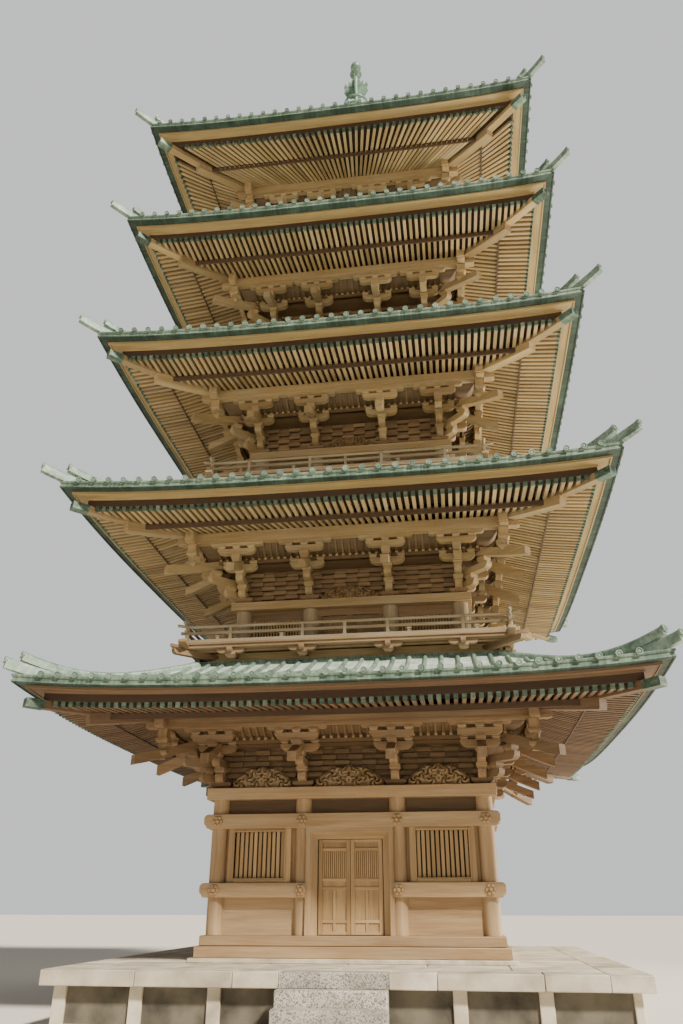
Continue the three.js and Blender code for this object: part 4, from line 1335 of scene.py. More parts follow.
@dataclass
class BracketZone:
    """Everything between a storey's plate and its rafters.

    Heights of the sets are above the plate, and places out are from the column line.
    """

    level: Level
    arm_width: float = 0.15
    arm_height: float = 0.14
    capital: Span = (0.40, 0.11)
    block: Span = (0.20, 0.115)
    small_block: Span = (0.16, 0.075)
    small_drop: float = 0.135
    spacing: float = 0.29
    seat_width: float = 0.18
    # For each step out: how far its arm's end and its block stand out, and the arm's foot
    steps: tuple[Triple, ...] = ((0.36, 0.26, 0.10), (0.64, 0.54, 0.355))
    cross_foot: float = 0.585
    # The length, height and width of the arms along the wall
    cross_arm: Triple = (0.74, 0.14, 0.13)
    eave_arm: Triple = (0.82, 0.12, 0.12)
    eave_arm_drop: float = 0.25
    pillow: Triple = (1.14, 0.065, 0.11)
    tail_out: float = 1.35
    tail_foot: float = 0.29
    tail_slope: float = 0.36
    tail_bend: float = 0.10
    tail_height: float = 0.175
    tail_width: float = 0.16
    purlin_place: float = 0.92
    purlin_height: float = 0.24
    purlin_end: float = 0.34
    tie_foot: float = 0.745
    course: float = 0.105
    # The staggered blocks of the wall's courses: their pitch, width and height
    course_block: Triple = (0.52, 0.28, 0.075)
    rib_pitch: float = 0.14
    foot_size: float = 0.055
    lower_strut: float = 0.38
    upper_strut: float = 0.30

    def build(self) -> None:
        """Build and dress the zone."""
        level = self.level
        lower = level.number == 1
        # Painted shade under the eaves: the ground storey's sets and purlin take the browner timber and its
        # woven wall the darkest, the upper woven walls take the browner one, and every soffit the darkest.
        wood = BROWN_SHADE_TIMBER if lower else UPPER_TIMBER
        name = level.name
        add_piece(f"{name}_woven_wall", self.woven_wall(), SHADE_PAINTED_TIMBER if lower else BROWN_SHADE_TIMBER,
                  replaces=(f"{name}_brackets",))
        add_piece(f"{name}_bracket_sets", self.sets(), wood, sharp=30)
        add_piece(f"{name}_soffit", self.soffit(), SHADE_PAINTED_TIMBER)
        add_piece(f"{name}_rib_feet", self.rib_feet(), UPPER_TIMBER)
        add_piece(f"{name}_purlin", self.purlin(), wood)
        add_piece(f"{name}_carved_struts", self.struts(), CARVED_TIMBER, sharp=60)

    @property
    def rise(self) -> float:
        """From the plate to the rafters' foot."""
        return self.level.eave - self.level.plate

    def woven_wall(self) -> Form:
        """Thin courses of beam, with staggered blocks that stand proud, before a plain wall.

        The sets' capitals are part of it, as dark as the wall in their shade.
        """
        level = self.level
        line, foot = level.line, level.plate
        parts = [box(-line + 0.03, line - 0.03, -line - 0.02, -line + 0.07, foot, level.eave)]
        parts += [placed(bearing_block(*self.capital), x, line, foot) for x in level.columns[:3]]
        pitch, width, height = self.course_block
        for row in range(int((self.tie_foot - 0.08) / self.course)):
            z = foot + 0.09 + row * self.course
            parts.append(box(-line - 0.06, line + 0.06, -line - 0.05, -line, z, z + self.course * 0.66))
            x = np.arange(-line + pitch / 2 * (row % 2), line, pitch)
            parts.append(box_row(x, width, (-line - 0.10, -line - 0.01), (z, z + height)))
        return four_sides(merge(parts))

    def bracket_set(self, reach: float = 1.0) -> Form:
        """One set over its capital: two stepped arms, blocks and the tail rafter.

        Args:
            reach: How much longer it is than a straight set. Only a straight set has arms
                along the wall.

        Returns:
            The set in its own frame.
        """
        arm = self.arm_height
        outwards = -math.pi / 2
        block, small = bearing_block(*self.block), bearing_block(*self.small_block)
        parts = []
        for tip, seat, foot in self.steps:
            parts.append(placed(nose(tip * reach, arm, self.arm_width), 0, 0, foot, outwards))
            parts.append(placed(block, 0, seat * reach, foot + arm))
        parts.append(placed(self.tail(reach), 0, 0, 0, outwards))
        under = self.rise - self.purlin_height
        place = self.purlin_place * reach
        seat_top = float(self.tail_under(self.purlin_place)) + self.tail_height
        seat = bearing_block(self.seat_width, under - self.eave_arm_drop - seat_top)
        parts.append(placed(seat, 0, place, seat_top))
        if reach == 1.0:
            step_out = self.steps[-1][1]
            parts.append(placed(boat_arm(*self.cross_arm), 0, step_out, self.cross_foot))
            parts.append(placed(boat_arm(*self.eave_arm), 0, place, under - self.eave_arm_drop))
            parts.append(placed(boat_arm(*self.pillow), 0, place, under - self.pillow[1]))
            for x in (-self.spacing, 0.0, self.spacing):
                parts.append(placed(small, x, step_out, self.cross_foot + arm))
                parts.append(placed(small, x * 1.1, place, under - self.small_drop))
        return merge(parts)

    def tail_under(self, out: Array) -> Array:
        """Height of the tail's underside: f + s d + b d^2, with d the way in from its tip."""
        inwards = self.tail_out - out
        return self.tail_foot + self.tail_slope * inwards + self.tail_bend * inwards ** 2

    def tail(self, reach: float) -> Form:
        """The tail rafter: a bar that falls in a slow curve, flatter towards its blunt tip."""
        out = np.linspace(0.05, self.tail_out, 7)
        lower = np.column_stack([out * reach, self.tail_under(out)])
        upper = lower[::-1] + np.array([0.0, self.tail_height])
        return prism(np.concatenate([lower, upper]), self.tail_width)

    def sets(self) -> Form:
        """Straight sets at every column and a longer set on each diagonal."""
        level = self.level
        straight, diagonal = set_frames(level.columns, level.line, level.plate)
        return merge([repeated(self.bracket_set(), straight),
                      repeated(self.bracket_set(math.sqrt(2)), diagonal)])

    @property
    def tie(self) -> Triple:
        """The tie beam's half width, its foot and its top."""
        low = self.level.plate + self.tie_foot
        return self.level.line + self.steps[-1][1], low, low + 0.07

    def rib_places(self) -> Array:
        """Where the soffit's ribs stand along a side."""
        count = int(2 * self.tie[0] / self.rib_pitch)
        return (np.arange(count) - (count - 1) / 2) * self.rib_pitch

    def rib_feet(self) -> Form:
        """A small block on the tie beam under the foot of each rib."""
        tie, _, high = self.tie
        side = self.foot_size
        return four_sides(box_row(self.rib_places(), side, (-tie - 0.06, -tie + 0.01), (high, high + side)))

    def soffit(self) -> Form:
        """The tie beam on the second steps, the strip over it, and the curved ribbed panel."""
        level = self.level
        tie, low, high = self.tie
        foot = high + self.foot_size
        x = self.rib_places()[:, None]
        parts = [square_ring(rectangle(tie - 0.05, tie + 0.05, low, high)),
                 square_ring(rectangle(level.line, tie, low, high - 0.01)),
                 square_ring(rectangle(tie - 0.03, tie, high - 0.01, foot + 0.03))]
        bend = np.linspace(0.0, math.pi / 2, 6)
        out = tie + (PURLIN_OUT - 0.06 - self.steps[-1][1]) * np.sin(bend)
        z = foot + (level.eave - 0.05 - foot) * (1 - np.cos(bend))
        paths = np.stack([x + 0 * out, -out + 0 * x, z + 0 * x], axis=-1)
        ribs = sweep(rectangle(-0.02, 0.02, -0.03, 0.01), paths)
        back = list(zip(out, z + 0.012))
        front = list(zip(out[::-1], z[::-1] + 0.032))
        return merge(parts + [four_sides(ribs), square_ring(back + front)])

    def purlin(self) -> Form:
        """The eave purlin with its crossing ends, and a hanging block under each crossing."""
        level, half = self.level, PURLIN_HALF
        out = level.line + PURLIN_OUT
        low, high = level.eave - self.purlin_height, level.eave - JOINT
        end = out + self.purlin_end
        stem = half - 0.03
        parts = [
            box(-end, end, -out - half, -out + half, low + 0.02, high),
            box(-end + 0.05, end - 0.05, -out - half - 0.015, -out + half - 0.02, low, low + 0.05),
            box(out - half, out + half, -out - half, -out + half, low - 0.22, low + 0.1),
            box(out - stem, out + stem, -out - stem, -out + stem, low - 0.55, low - 0.2),
        ]
        parts += [placed(bearing_block(0.23, 0.09), out, out, low - fall) for fall in (0.27, 0.5)]
        return toned(four_sides(merge(parts)), 0.6)

    def struts(self) -> Form:
        """Carved struts: one in each bay of the ground storey, one in the middle bay above."""
        level = self.level
        clear = self.capital[0] / 2 + 0.02
        bays = [(0.0, level.inner - clear)]
        if level.number == 1:
            half = (level.line - level.inner) / 2 - clear
            bays += [(-level.bay, half), (level.bay, half)]
        height = self.lower_strut if level.number == 1 else self.upper_strut
        made = [carving(middle, half, level.plate, height, -level.line - 0.085) for middle, half in bays]
        return toned(four_sides(merge(made)), 0.6)


# Eaves


@dataclass
class Eaves:
    """Two tiers of rafters, the beam and boards at their ends, and the hip rafters."""

    level: Level
    rafter_width: float = 0.068
    rafter_height: float = 0.09
    pitch: float = 0.1385
    fan_pitch: float = 0.178
    board: float = 0.02
    sleeve: float = 0.004
    hip_sleeve: float = 0.22
    hip_past: float = 0.22

    def build(self) -> None:
        """Build and dress the eaves."""
        level = self.level
        lowest = level.number == 1
        # The lowest eaves take the reddish timber, darkened as painted shade; every tier's decking, recess
        # and sleeves carry painted shade too.
        wood = RED_SHADE_TIMBER if lowest else UPPER_TIMBER
        name = level.name
        add_piece(f"{name}_base_rafters", self.base_rafters(), wood, replaces=(f"{name}_eaves",))
        add_piece(f"{name}_flying_rafters", self.flying_rafters(), wood)
        add_piece(f"{name}_rafter_boards", self.decks(), DECK_SHADE_TIMBER)
        add_piece(f"{name}_eave_recess", self.eave_recess(), RECESS_SHADE_TIMBER)
        add_piece(f"{name}_eave_boards", self.eave_boards(), RED_SHADE_TIMBER if lowest else BOARD_TIMBER)
        add_piece(f"{name}_hip_rafters", self.hips(), wood)
        add_piece(f"{name}_rafter_sleeves", self.sleeves(), SLEEVE_SHADE_COPPER)

    @property
    def middle(self) -> float:
        """Half the width of the beam between the two tiers."""
        return self.level.edge - FLYING_LENGTH

    @property
    def tip(self) -> float:
        """Half the width of the ring of the flying rafters' ends."""
        return self.level.edge - RAFTER_SETBACK

    def base_under(self, half: Array) -> Array:
        """Height of the base rafters' underside at a half width."""
        level = self.level
        purlin = level.line + PURLIN_FACE
        end = level.eave - EAVE_BOARDS + FLYING_RISE - BASE_STEP
        slope = (level.eave - end) / (self.middle - purlin)
        return level.eave + (purlin - half) * slope

    def flying_under(self, half: Array) -> Array:
        """Height of the flying rafters' underside at a half width."""
        foot = self.level.eave - EAVE_BOARDS
        return foot + FLYING_RISE * (self.tip - half) / (self.tip - self.middle)

    def lines(self, inner: float, outer: float) -> tuple[Array, Array, Array, Array]:
        """Where a side's rafters start and end: x and half width at both ends.

        The rafters of a lower roof are parallel and stop at the hip. Those of the top roof
        fan out, so that x over the half width stays the same along each.
        """
        level = self.level
        pitch = self.fan_pitch if level.top else self.pitch
        count = int(2 * (level.edge - 0.3) / pitch)
        at_edge = (np.arange(count) - (count - 1) / 2) * pitch
        if level.top:
            ratio = at_edge / level.edge
            return ratio * inner, np.full(count, inner), ratio * outer, np.full(count, outer)
        start = np.maximum(inner, np.abs(at_edge) + 0.06)
        keep = start < outer - 0.05
        x = at_edge[keep]
        return x, start[keep], x, np.full(len(x), outer)

    def tier(self, inner: float, outer: float, under: Under, more: float = 0.0) -> Form:
        """Bars on a side's rafter lines.

        Args:
            inner: The half width where they start.
            outer: The half width where they end.
            under: The height of their undersides at a half width.
            more: How much thicker they are than a rafter.

        Returns:
            The bars of all four sides.
        """
        x0, h0, x1, h1 = self.lines(inner, outer)
        lift, middle = self.level.lift, self.rafter_height / 2
        starts = np.column_stack([x0, -h0, under(h0) + lift(x0 / h0, h0) + middle])
        ends = np.column_stack([x1, -h1, under(h1) + lift(x1 / h1, h1) + middle])
        return four_sides(bars(starts, ends, self.rafter_width + more, self.rafter_height + more))

    def base_rafters(self) -> Form:
        """The inner tier, from inside the purlin into the middle beam."""
        return self.tier(self.level.line + RAFTER_START, self.middle + 0.02, self.base_under)

    def flying_rafters(self) -> Form:
        """The outer tier, out to the eave boards."""
        return self.tier(self.middle - 0.03, self.tip, self.flying_under)

    def sleeves(self) -> Form:
        """Copper sleeves on the flying rafters' ends and round the upper hip rafters' ends."""
        ends = self.tier(self.tip - 0.045, self.tip + 0.006, self.flying_under, 2 * self.sleeve)
        outer, drop, wide, under = self.hip_sizes()[1]
        hip = self.hip(outer - self.hip_sleeve, outer + 0.01, drop + 0.01, wide + 0.01, under)
        return merge([ends, four_sides(hip)])

    def decks(self) -> Form:
        """The boards that lie on each tier, dark behind the rafters as painted shade."""
        made = []
        for inner, outer, under in ((self.level.line + RAFTER_START, self.middle + 0.05, self.base_under),
                                    (self.middle - 0.03, self.tip, self.flying_under)):
            near, far = under(np.array([inner, outer])) + self.rafter_height
            section = [(inner, near), (outer, far), (outer, far + self.board), (inner, near + self.board)]
            made.append(square_ring(section, self.level.lift, EAVE_PLACES))
        return toned(merge(made), 0.2)

    def eave_recess(self) -> Form:
        """The beam between the tiers, and the upright board over the flying rafters' ends, both dark as
        painted shade, the board darkest.
        """
        level, middle, tip = self.level, self.middle, self.tip
        low = float(self.flying_under(np.array(middle)))
        beam = rectangle(middle, middle + 0.03, low - 0.11, low + 0.012)
        face = rectangle(tip - 0.04, tip + 0.012, level.eave - 0.14, level.eave + 0.03)
        return merge([toned(square_ring(beam, level.lift, EAVE_PLACES), 0.9),
                      toned(square_ring(face, level.lift, EAVE_PLACES), 0.0)])

    def eave_boards(self) -> Form:
        """The broad flat board behind the copper edge, with a bead along each side."""
        level = self.level
        outer, low = level.edge - BOARD_SETBACK, level.eave + COPPER_FOOT
        inner = self.tip
        section = [(inner, low - 0.05), (inner + 0.03, low - 0.05), (inner + 0.034, low - 0.025),
                   (outer - 0.03, low - 0.025), (outer - 0.026, low - 0.04), (outer, low - 0.04),
                   (outer, low), (inner, low)]
        return toned(square_ring(section, level.lift, EAVE_PLACES), 0.9)

    def hip_sizes(self) -> tuple:
        """For the lower and the upper hip rafter: its end, drop, half width and tier."""
        return ((self.middle + self.hip_past, 0.10, 0.10, self.base_under),
                (self.tip + self.hip_past, 0.05, 0.085, self.flying_under))

    def hip(self, inner: float, outer: float, drop: float, wide: float, under: Under) -> Form:
        """A bar under the front left diagonal that drops below its tier's rafters."""
        half = np.linspace(inner, outer, 9)
        low = under(half) + self.level.lift(np.ones(9), half)
        deep = (self.rafter_height + drop) / 2
        path = np.column_stack([0 * half, -half * math.sqrt(2), low + self.rafter_height - deep])
        return turned(sweep(rectangle(-wide, wide, -deep, deep), path), 0.5)

    def hips(self) -> Form:
        """Hip rafters on the diagonals, a deep lower one and an upper one to the corner."""
        lower, upper = self.hip_sizes()
        pair = [self.hip(self.level.line + 0.5, *lower), self.hip(self.middle - 0.1, *upper)]
        return four_sides(merge(pair))


# Roofs


@dataclass
class CopperRoof:
    """A copper roof: sheets, round batten rolls, hip ridges and the flashing at its crest."""

    level: Level
    roll_radius: float = 0.045
    roll_pitch: float = 0.31
    roll_past: float = 0.03
    seam: float = 0.62
    thickness: float = 0.16
    ridge_radius: float = 0.085
    ridge_past: float = 0.28
    ridge_limit: float = 5.61
    # For each tier of a ridge: its lift, its scale, its tip's rise and its band's depth
    ridge_tiers: tuple[tuple[float, ...], ...] = ((0.0, 0.62, 0.20, 0.20), (0.03, 0.70, 0.30, 0.12))
    tip_length: float = 1.4
    tip_tilt: float = 0.25

    def build(self) -> None:
        """Build and dress the roof."""
        name = self.level.name
        # Painted light on the copper: the sheets carry painted sunlight, and the rolls, roll ends, ridges and
        # soffit carry painted shade.
        add_piece(f"{name}_copper_sheets", self.sheets(), SUNLIT_ROOF_COPPER, replaces=(f"{name}_roof",))
        add_piece(f"{name}_copper_edge", self.fascia(), EDGE_COPPER)
        add_piece(f"{name}_copper_soffit", self.soffit(), SOFFIT_SHADE_COPPER)
        add_piece(f"{name}_batten_rolls", self.rolls(), SHADED_ROLL_COPPER)
        add_piece(f"{name}_roll_ends", self.roll_ends(), SHADED_ROLL_COPPER)
        add_piece(f"{name}_hip_ridges", self.ridges(), SHADED_ROLL_COPPER)
        if not self.level.top:
            add_piece(f"{name}_flashing", self.flashing(), EDGE_COPPER)

    def sheets(self) -> Form:
        """The roof's skin as one ring, with a lap step at each seam across the slope."""
        level = self.level
        laps = max(4, int((level.edge - level.crest) / self.seam))
        half, height = level.roof(np.linspace(0.0, 1.0, laps + 1))
        upper = [(half[0], height[0])]
        for k in range(1, laps):
            upper += [(half[k], height[k]), (half[k] - 0.004, height[k] + 0.01)]
        crest, top = half[-1], height[-1]
        upper.append((crest, top))
        lower = [(h, z - self.thickness) for h, z in upper[::-1]]
        foot = level.eave + COPPER_FOOT + 0.015
        lower[-1] = (level.edge - 0.09, foot)
        ends = [] if level.top else [(crest - 0.3, top), (crest - 0.3, top - self.thickness)]
        rim = [(level.edge - 0.05, foot), (level.edge - 0.05, height[0] - 0.03)]
        return toned(square_ring(upper + ends + lower + rim, level.lift, ROOF_PLACES), 0.8)

    def fascia(self) -> Form:
        """The upright edge band with a rolled upper lip."""
        level = self.level
        edge, low, high = level.edge, level.eave + COPPER_FOOT, level.eave + FASCIA_HEIGHT
        section = [(edge - 0.06, low + 0.002), (edge - 0.008, low + 0.002), (edge - 0.008, low + 0.03),
                   (edge - 0.024, low + 0.036), (edge - 0.024, high - 0.05), (edge - 0.004, high - 0.036),
                   (edge, high - 0.012), (edge - 0.01, high + 0.008), (edge - 0.06, high + 0.014)]
        return toned(square_ring(section, level.lift, ROOF_PLACES), 0.6)

    def soffit(self) -> Form:
        """The copper that turns in under the edge, with a drip at its outer side, dark as painted shade."""
        level = self.level
        outer, low = level.edge - 0.012, level.eave + COPPER_FOOT
        inner = level.edge - BOARD_SETBACK - 0.02
        section = [(inner, low), (outer - 0.03, low), (outer - 0.03, low - 0.012), (outer, low - 0.012),
                   (outer, low + 0.014), (inner, low + 0.014)]
        return toned(square_ring(section, level.lift, ROOF_PLACES), 0.3)

    def flashing(self) -> Form:
        """The band at the crest, stepped back twice towards the wall above."""
        crest, top = self.level.crest, float(self.level.roof(np.array(1.0))[1])
        section = [(crest - 0.26, top - 0.02), (crest + 0.02, top - 0.02), (crest + 0.02, top + 0.035),
                   (crest - 0.02, top + 0.05), (crest - 0.02, top + 0.10), (crest - 0.07, top + 0.118),
                   (crest - 0.26, top + 0.118)]
        return toned(square_ring(section), 0.7)

    def roll_lines(self) -> tuple[Array, Array]:
        """Where the rolls of a side stand, and the half width where each ends at the hip."""
        level = self.level
        count = int(2 * (level.edge - 0.25) / self.roll_pitch)
        count += 1 - count % 2
        x = (np.arange(count) - (count - 1) / 2) * self.roll_pitch
        end = np.maximum(level.crest, np.abs(x) + 0.12)
        keep = end < level.edge - 0.1
        return x[keep], end[keep]

    def roll_place(self, x: Array, half: Array) -> Array:
        """Places on the axes of the rolls."""
        level = self.level
        inside = np.minimum(half, level.edge)
        z = level.roof_height(inside) + level.lift(np.abs(x) / inside, inside) + 0.018
        return np.stack([x + 0 * half, -half, z], axis=-1)

    def rolls(self) -> Form:
        """Round batten rolls down the slope."""
        x, end = self.roll_lines()
        start = self.level.edge + self.roll_past
        half = start + (end[:, None] - start) * np.linspace(0.0, 1.0, 9)
        return four_sides(sweep(disc(self.roll_radius, 12), self.roll_place(x[:, None], half)))

    def roll_ends(self) -> Form:
        """A disc on the end of each roll, with a rim, a hollow and a boss."""
        x, _ = self.roll_lines()
        radius = self.roll_radius + 0.011
        face = lathe([(radius, -0.03), (radius, 0.012), (radius * 0.8, 0.012), (radius * 0.72, -0.012),
                      (radius * 0.42, -0.012), (radius * 0.34, 0.004), (0.004, 0.006)], 14)
        frames = np.tile(np.array(Matrix.Rotation(math.pi / 2, 4, "X")), (len(x), 1, 1))
        frames[:, :3, 3] = self.roll_place(x, np.full(len(x), self.level.edge + self.roll_past))
        return four_sides(repeated(face, frames))

    def ridges(self) -> Form:
        """Hip ridges in two tiers, each a slender roll on a band, whose long tips fork upwards."""
        level, radius = self.level, self.ridge_radius
        turn = np.linspace(math.pi, 0.0, 9)
        top = np.column_stack([radius * np.cos(turn), 0.03 + radius * np.sin(turn)])
        ends = (min(level.edge + self.ridge_past, self.ridge_limit), level.edge - 0.10)
        parts = []
        for outer, (lift, size, curl, deep) in zip(ends, self.ridge_tiers):
            band = np.concatenate([[[radius, -deep], [-radius, -deep]], top])
            half = np.linspace(level.crest, outer, 25)
            z = level.roof_height(half) + level.lift(np.ones(25), half) + lift
            # The tip sweeps up as the square of the way to its end
            z = z + curl * np.clip((half - outer) / self.tip_length + 1, 0.0, 1.0) ** 2
            path = np.column_stack([0 * half, -half * math.sqrt(2), z])
            parts.append(sweep(band * size, path))
            face = lathe([(0.1 * size, -0.02), (0.1 * size, 0.03), (0.075 * size, 0.03), (0.07 * size, 0.018),
                          (0.004, 0.018)], 18)
            frame = np.array(Matrix.Translation(tuple(path[-1] + np.array([0, 0, 0.03 * size])))
                             @ Matrix.Rotation(math.pi / 2 - self.tip_tilt, 4, "X"))
            parts.append(repeated(face, frame[None]))
        return toned(four_sides(turned(merge(parts), 0.5)), 0.7)


# Upper storeys


@dataclass
class UpperStorey:
    """A storey over a roof: waist, balcony, railing, and the short wall with its openings."""

    level: Level
    below: Level
    column_radius: float = 0.165
    plate_height: float = 0.18
    board_proud: float = 0.02
    set_drop: float = 0.27
    edge_beam: Span = (0.075, 0.032)
    slat_pitch: float = 0.06
    slat_width: float = 0.031
    # For each rail: its height, section, reach past the corner and turn up
    rail_bars: tuple[tuple, ...] = ((0.04, rectangle(-0.045, 0.045, -0.04, 0.04), 0.17, 0.0),
                                    (0.217, rectangle(-0.025, 0.025, -0.027, 0.027), 0.13, 0.02),
                                    (0.355, disc(0.032, 12), 0.21, 0.05))

    def build(self) -> None:
        """Build and dress the storey."""
        name = self.level.name
        add_piece(f"{name}_waist", self.waist(), UPPER_TIMBER, replaces=(f"{name}_balcony",))
        # Painted shade: the waist sets, the balcony floor and the wall joinery take the browner timber.
        add_piece(f"{name}_waist_sets", self.waist_sets(), BROWN_SHADE_TIMBER)
        add_piece(f"{name}_floor", self.floor(), BROWN_SHADE_TIMBER, bevel=0.008)
        add_piece(f"{name}_rails", self.rails(), RAIL_TIMBER, replaces=(f"{name}_railing",))
        add_piece(f"{name}_plate", self.plate(), UPPER_TIMBER, bevel=0.008)
        add_piece(f"{name}_wall_joinery", self.walls(), BROWN_SHADE_TIMBER, replaces=(f"{name}_walls",))
        add_piece(f"{name}_columns", self.columns(), RAIL_TIMBER)
        add_piece(f"{name}_lattices", self.lattices(), DOOR_TIMBER)

    def waist(self) -> Form:
        """The low wall that the roof below meets, with a rail along its foot."""
        level = self.level
        out = level.line + WAIST_OUT
        crest = float(self.below.roof(np.array(1.0))[1])
        wall = rectangle(out - 0.06, out + 0.055, self.below.eave + 0.2, level.floor - 0.08)
        rail = rectangle(out, out + 0.10, crest + 0.11, crest + 0.19)
        return toned(merge([square_ring(wall), square_ring(rail)]), 0.8)

    def waist_sets(self) -> Form:
        """Small sets under the balcony: a nose, and a boat-shaped arm with three blocks."""
        level = self.level
        reach = BALCONY_OUT - WAIST_OUT - 0.12
        small = bearing_block(0.13, 0.06)
        single = merge([
            placed(bearing_block(0.20, 0.09), 0, reach, -0.02),
            placed(boat_arm(0.58, 0.09, 0.11), 0, reach, 0.07),
            placed(nose(reach + 0.17, 0.10, 0.10), 0, 0, 0.06, -math.pi / 2),
        ] + [placed(small, x, reach, 0.16) for x in (-0.22, 0.0, 0.22)])
        long = nose(reach * math.sqrt(2) + 0.34, 0.11, 0.12)
        straight, diagonal = set_frames(level.columns, level.line + WAIST_OUT, level.floor - self.set_drop)
        diagonal[:, 2, 3] += 0.04
        diagonal = diagonal @ np.array(Matrix.Rotation(-math.pi / 2, 4, "Z"))
        return merge([repeated(single, straight), repeated(long, diagonal)])

    def floor(self) -> Form:
        """The balcony's boards on edge beams, whose crossing ends sweep up."""
        level = self.level
        edge, top = level.line + BALCONY_OUT, level.floor
        wide, deep = self.edge_beam
        end = edge + EDGE_BEAM_END
        x = np.linspace(-end, end, 41)
        rise = 0.07 * np.clip((np.abs(x) - edge + 0.15) / (end - edge + 0.15), 0.0, 1.0) ** 1.6
        path = np.column_stack([x, np.full(41, -edge + wide + 0.01), top - 0.04 - deep + rise])
        under = box(-edge + 0.2, edge - 0.2, -edge + 0.22, -edge + 0.30, top - EDGE_BEAM_HEIGHT, top - 0.04)
        boards = box(-edge - 0.02, edge + 0.02, -edge - 0.02, edge + 0.02, top - 0.042, top)
        beam = sweep(rectangle(-wide, wide, -deep, deep), path)
        return merge([four_sides(merge([beam, under])), boards])

    def rails(self) -> Form:
        """Base, middle and top rails with posts. The rails run past the corners and turn up."""
        level = self.level
        line, foot = level.line + RAIL_OUT, level.floor
        share = np.linspace(-1.0, 1.0, 41)
        parts = []
        for z, section, past, curl in self.rail_bars:
            reach = line + past
            turn_up = np.clip((np.abs(share) * reach - line + 0.2) / (past + 0.2), 0.0, 1.0) ** 2
            path = np.column_stack([share * reach, np.full(41, -line), foot + z + curl * turn_up])
            parts.append(sweep(section, path))
        tall = np.array([-line * 0.72, -level.inner, 0.0, level.inner, line * 0.72])
        short = level.line * np.array([-1.12, -0.55, 0.55, 1.12])
        for x, high in ((tall, 0.34), (short, 0.15)):
            parts.append(bar_row(x, -line, (foot + 0.07, foot + high), 0.06, 0.06))
            parts.append(bar_row(x, -line, (foot + high - 0.015, foot + high + 0.015), 0.09, 0.075))
        post = lathe([(0.045, foot), (0.045, foot + 0.41), (0.025, foot + 0.43), (0.042, foot + 0.455),
                      (0.030, foot + 0.49), (0.006, foot + 0.52)], 14, (line, -line))
        return four_sides(merge(parts + [post]))

    def columns(self) -> Form:
        """Twelve short round columns."""
        level = self.level
        foot, head = level.floor, level.plate - self.plate_height
        radius = self.column_radius
        front = [lathe([(radius, foot), (radius, head)], 24, (x, -level.line)) for x in level.columns[:3]]
        return toned(four_sides(merge(front)), 0.9)

    @property
    def window(self) -> Triple:
        """Half the width of a side bay's window, and the heights of its foot and head."""
        level = self.level
        half = (level.line - level.inner) / 2 - self.column_radius - 0.045
        return half, level.floor + 0.2, level.plate - self.plate_height - 0.2

    def plate(self) -> Form:
        """The flat plate over the columns."""
        return toned(self.level.plate_beams(self.plate_height), 0.7)

    def walls(self) -> Form:
        """Boards between the columns, and the panelled middle door of each side."""
        line, inner, foot = self.level.line, self.level.inner, self.level.floor
        head = self.level.plate - self.plate_height
        face = -line - self.board_proud
        parts = []
        for quarter in QUARTERS:
            side = [box(-line, line, face - 0.045, face, foot, foot + 0.09)]
            for sign in (-1, 1):
                side += self.bay_boards(sign, face, foot, head) + self.door_leaf(sign, face, foot, head)
            side.append(box(-inner, inner, face - 0.03, -line + WALL_BACK, head - 0.14, head))
            parts.append(turned(merge(side), quarter))
        return merge(parts)

    def bay_boards(self, sign: int, face: float, foot: float, head: float) -> list[Form]:
        """The boards round a side bay's window, and a moulding over and under it."""
        level = self.level
        wide, z0, z1 = self.window
        back = -level.line + WALL_BACK
        middle = sign * level.bay
        near, far = sorted((sign * level.inner, sign * level.line))
        left, right = middle - wide - 0.04, middle + wide + 0.04
        return [
            box(near, far, face, back, foot, z0),
            box(near, far, face, back, z1, head),
            box(near, middle - wide, face, back, z0, z1),
            box(middle + wide, far, face, back, z0, z1),
            box(left, right, face - 0.03, face, z1 - 0.09, z1 - 0.03),
            box(left, right, face - 0.03, face, z0 - 0.04, z0),
        ]

    def door_leaf(self, sign: int, face: float, foot: float, head: float) -> list[Form]:
        """A fixed leaf of the middle door, a panel in stiles and rails, and the jamb beside it."""
        level = self.level
        door = level.inner - self.column_radius - 0.05
        panel, back = face + 0.025, -level.line + WALL_BACK
        parts = [box(*sorted((0.0, sign * door)), panel, back, foot, head),
                 box(*sorted((sign * door, sign * level.inner)), face - 0.01, back, foot, head)]
        for x in (sign * 0.033, sign * (door - 0.035)):
            parts.append(box(x - 0.03, x + 0.03, face - 0.01, panel, foot + 0.09, head - 0.14))
        for z in (foot + 0.10, (foot + head) / 2 + 0.05, head - 0.22):
            x0, x1 = sorted((sign * 0.06, sign * (door - 0.065)))
            parts.append(box(x0, x1, face - 0.004, panel, z, z + 0.05))
        return parts

    def lattices(self) -> Form:
        """Fine upright slats in the side bays' windows."""
        wide, foot, head = self.window
        across = np.linspace(-wide + 0.03, wide - 0.03, int(2 * wide / self.slat_pitch))
        face = -self.level.line - self.board_proud
        return four_sides(bar_row(self.level.both_bays(across), face, (foot, head), self.slat_width, 0.04))


# Finial


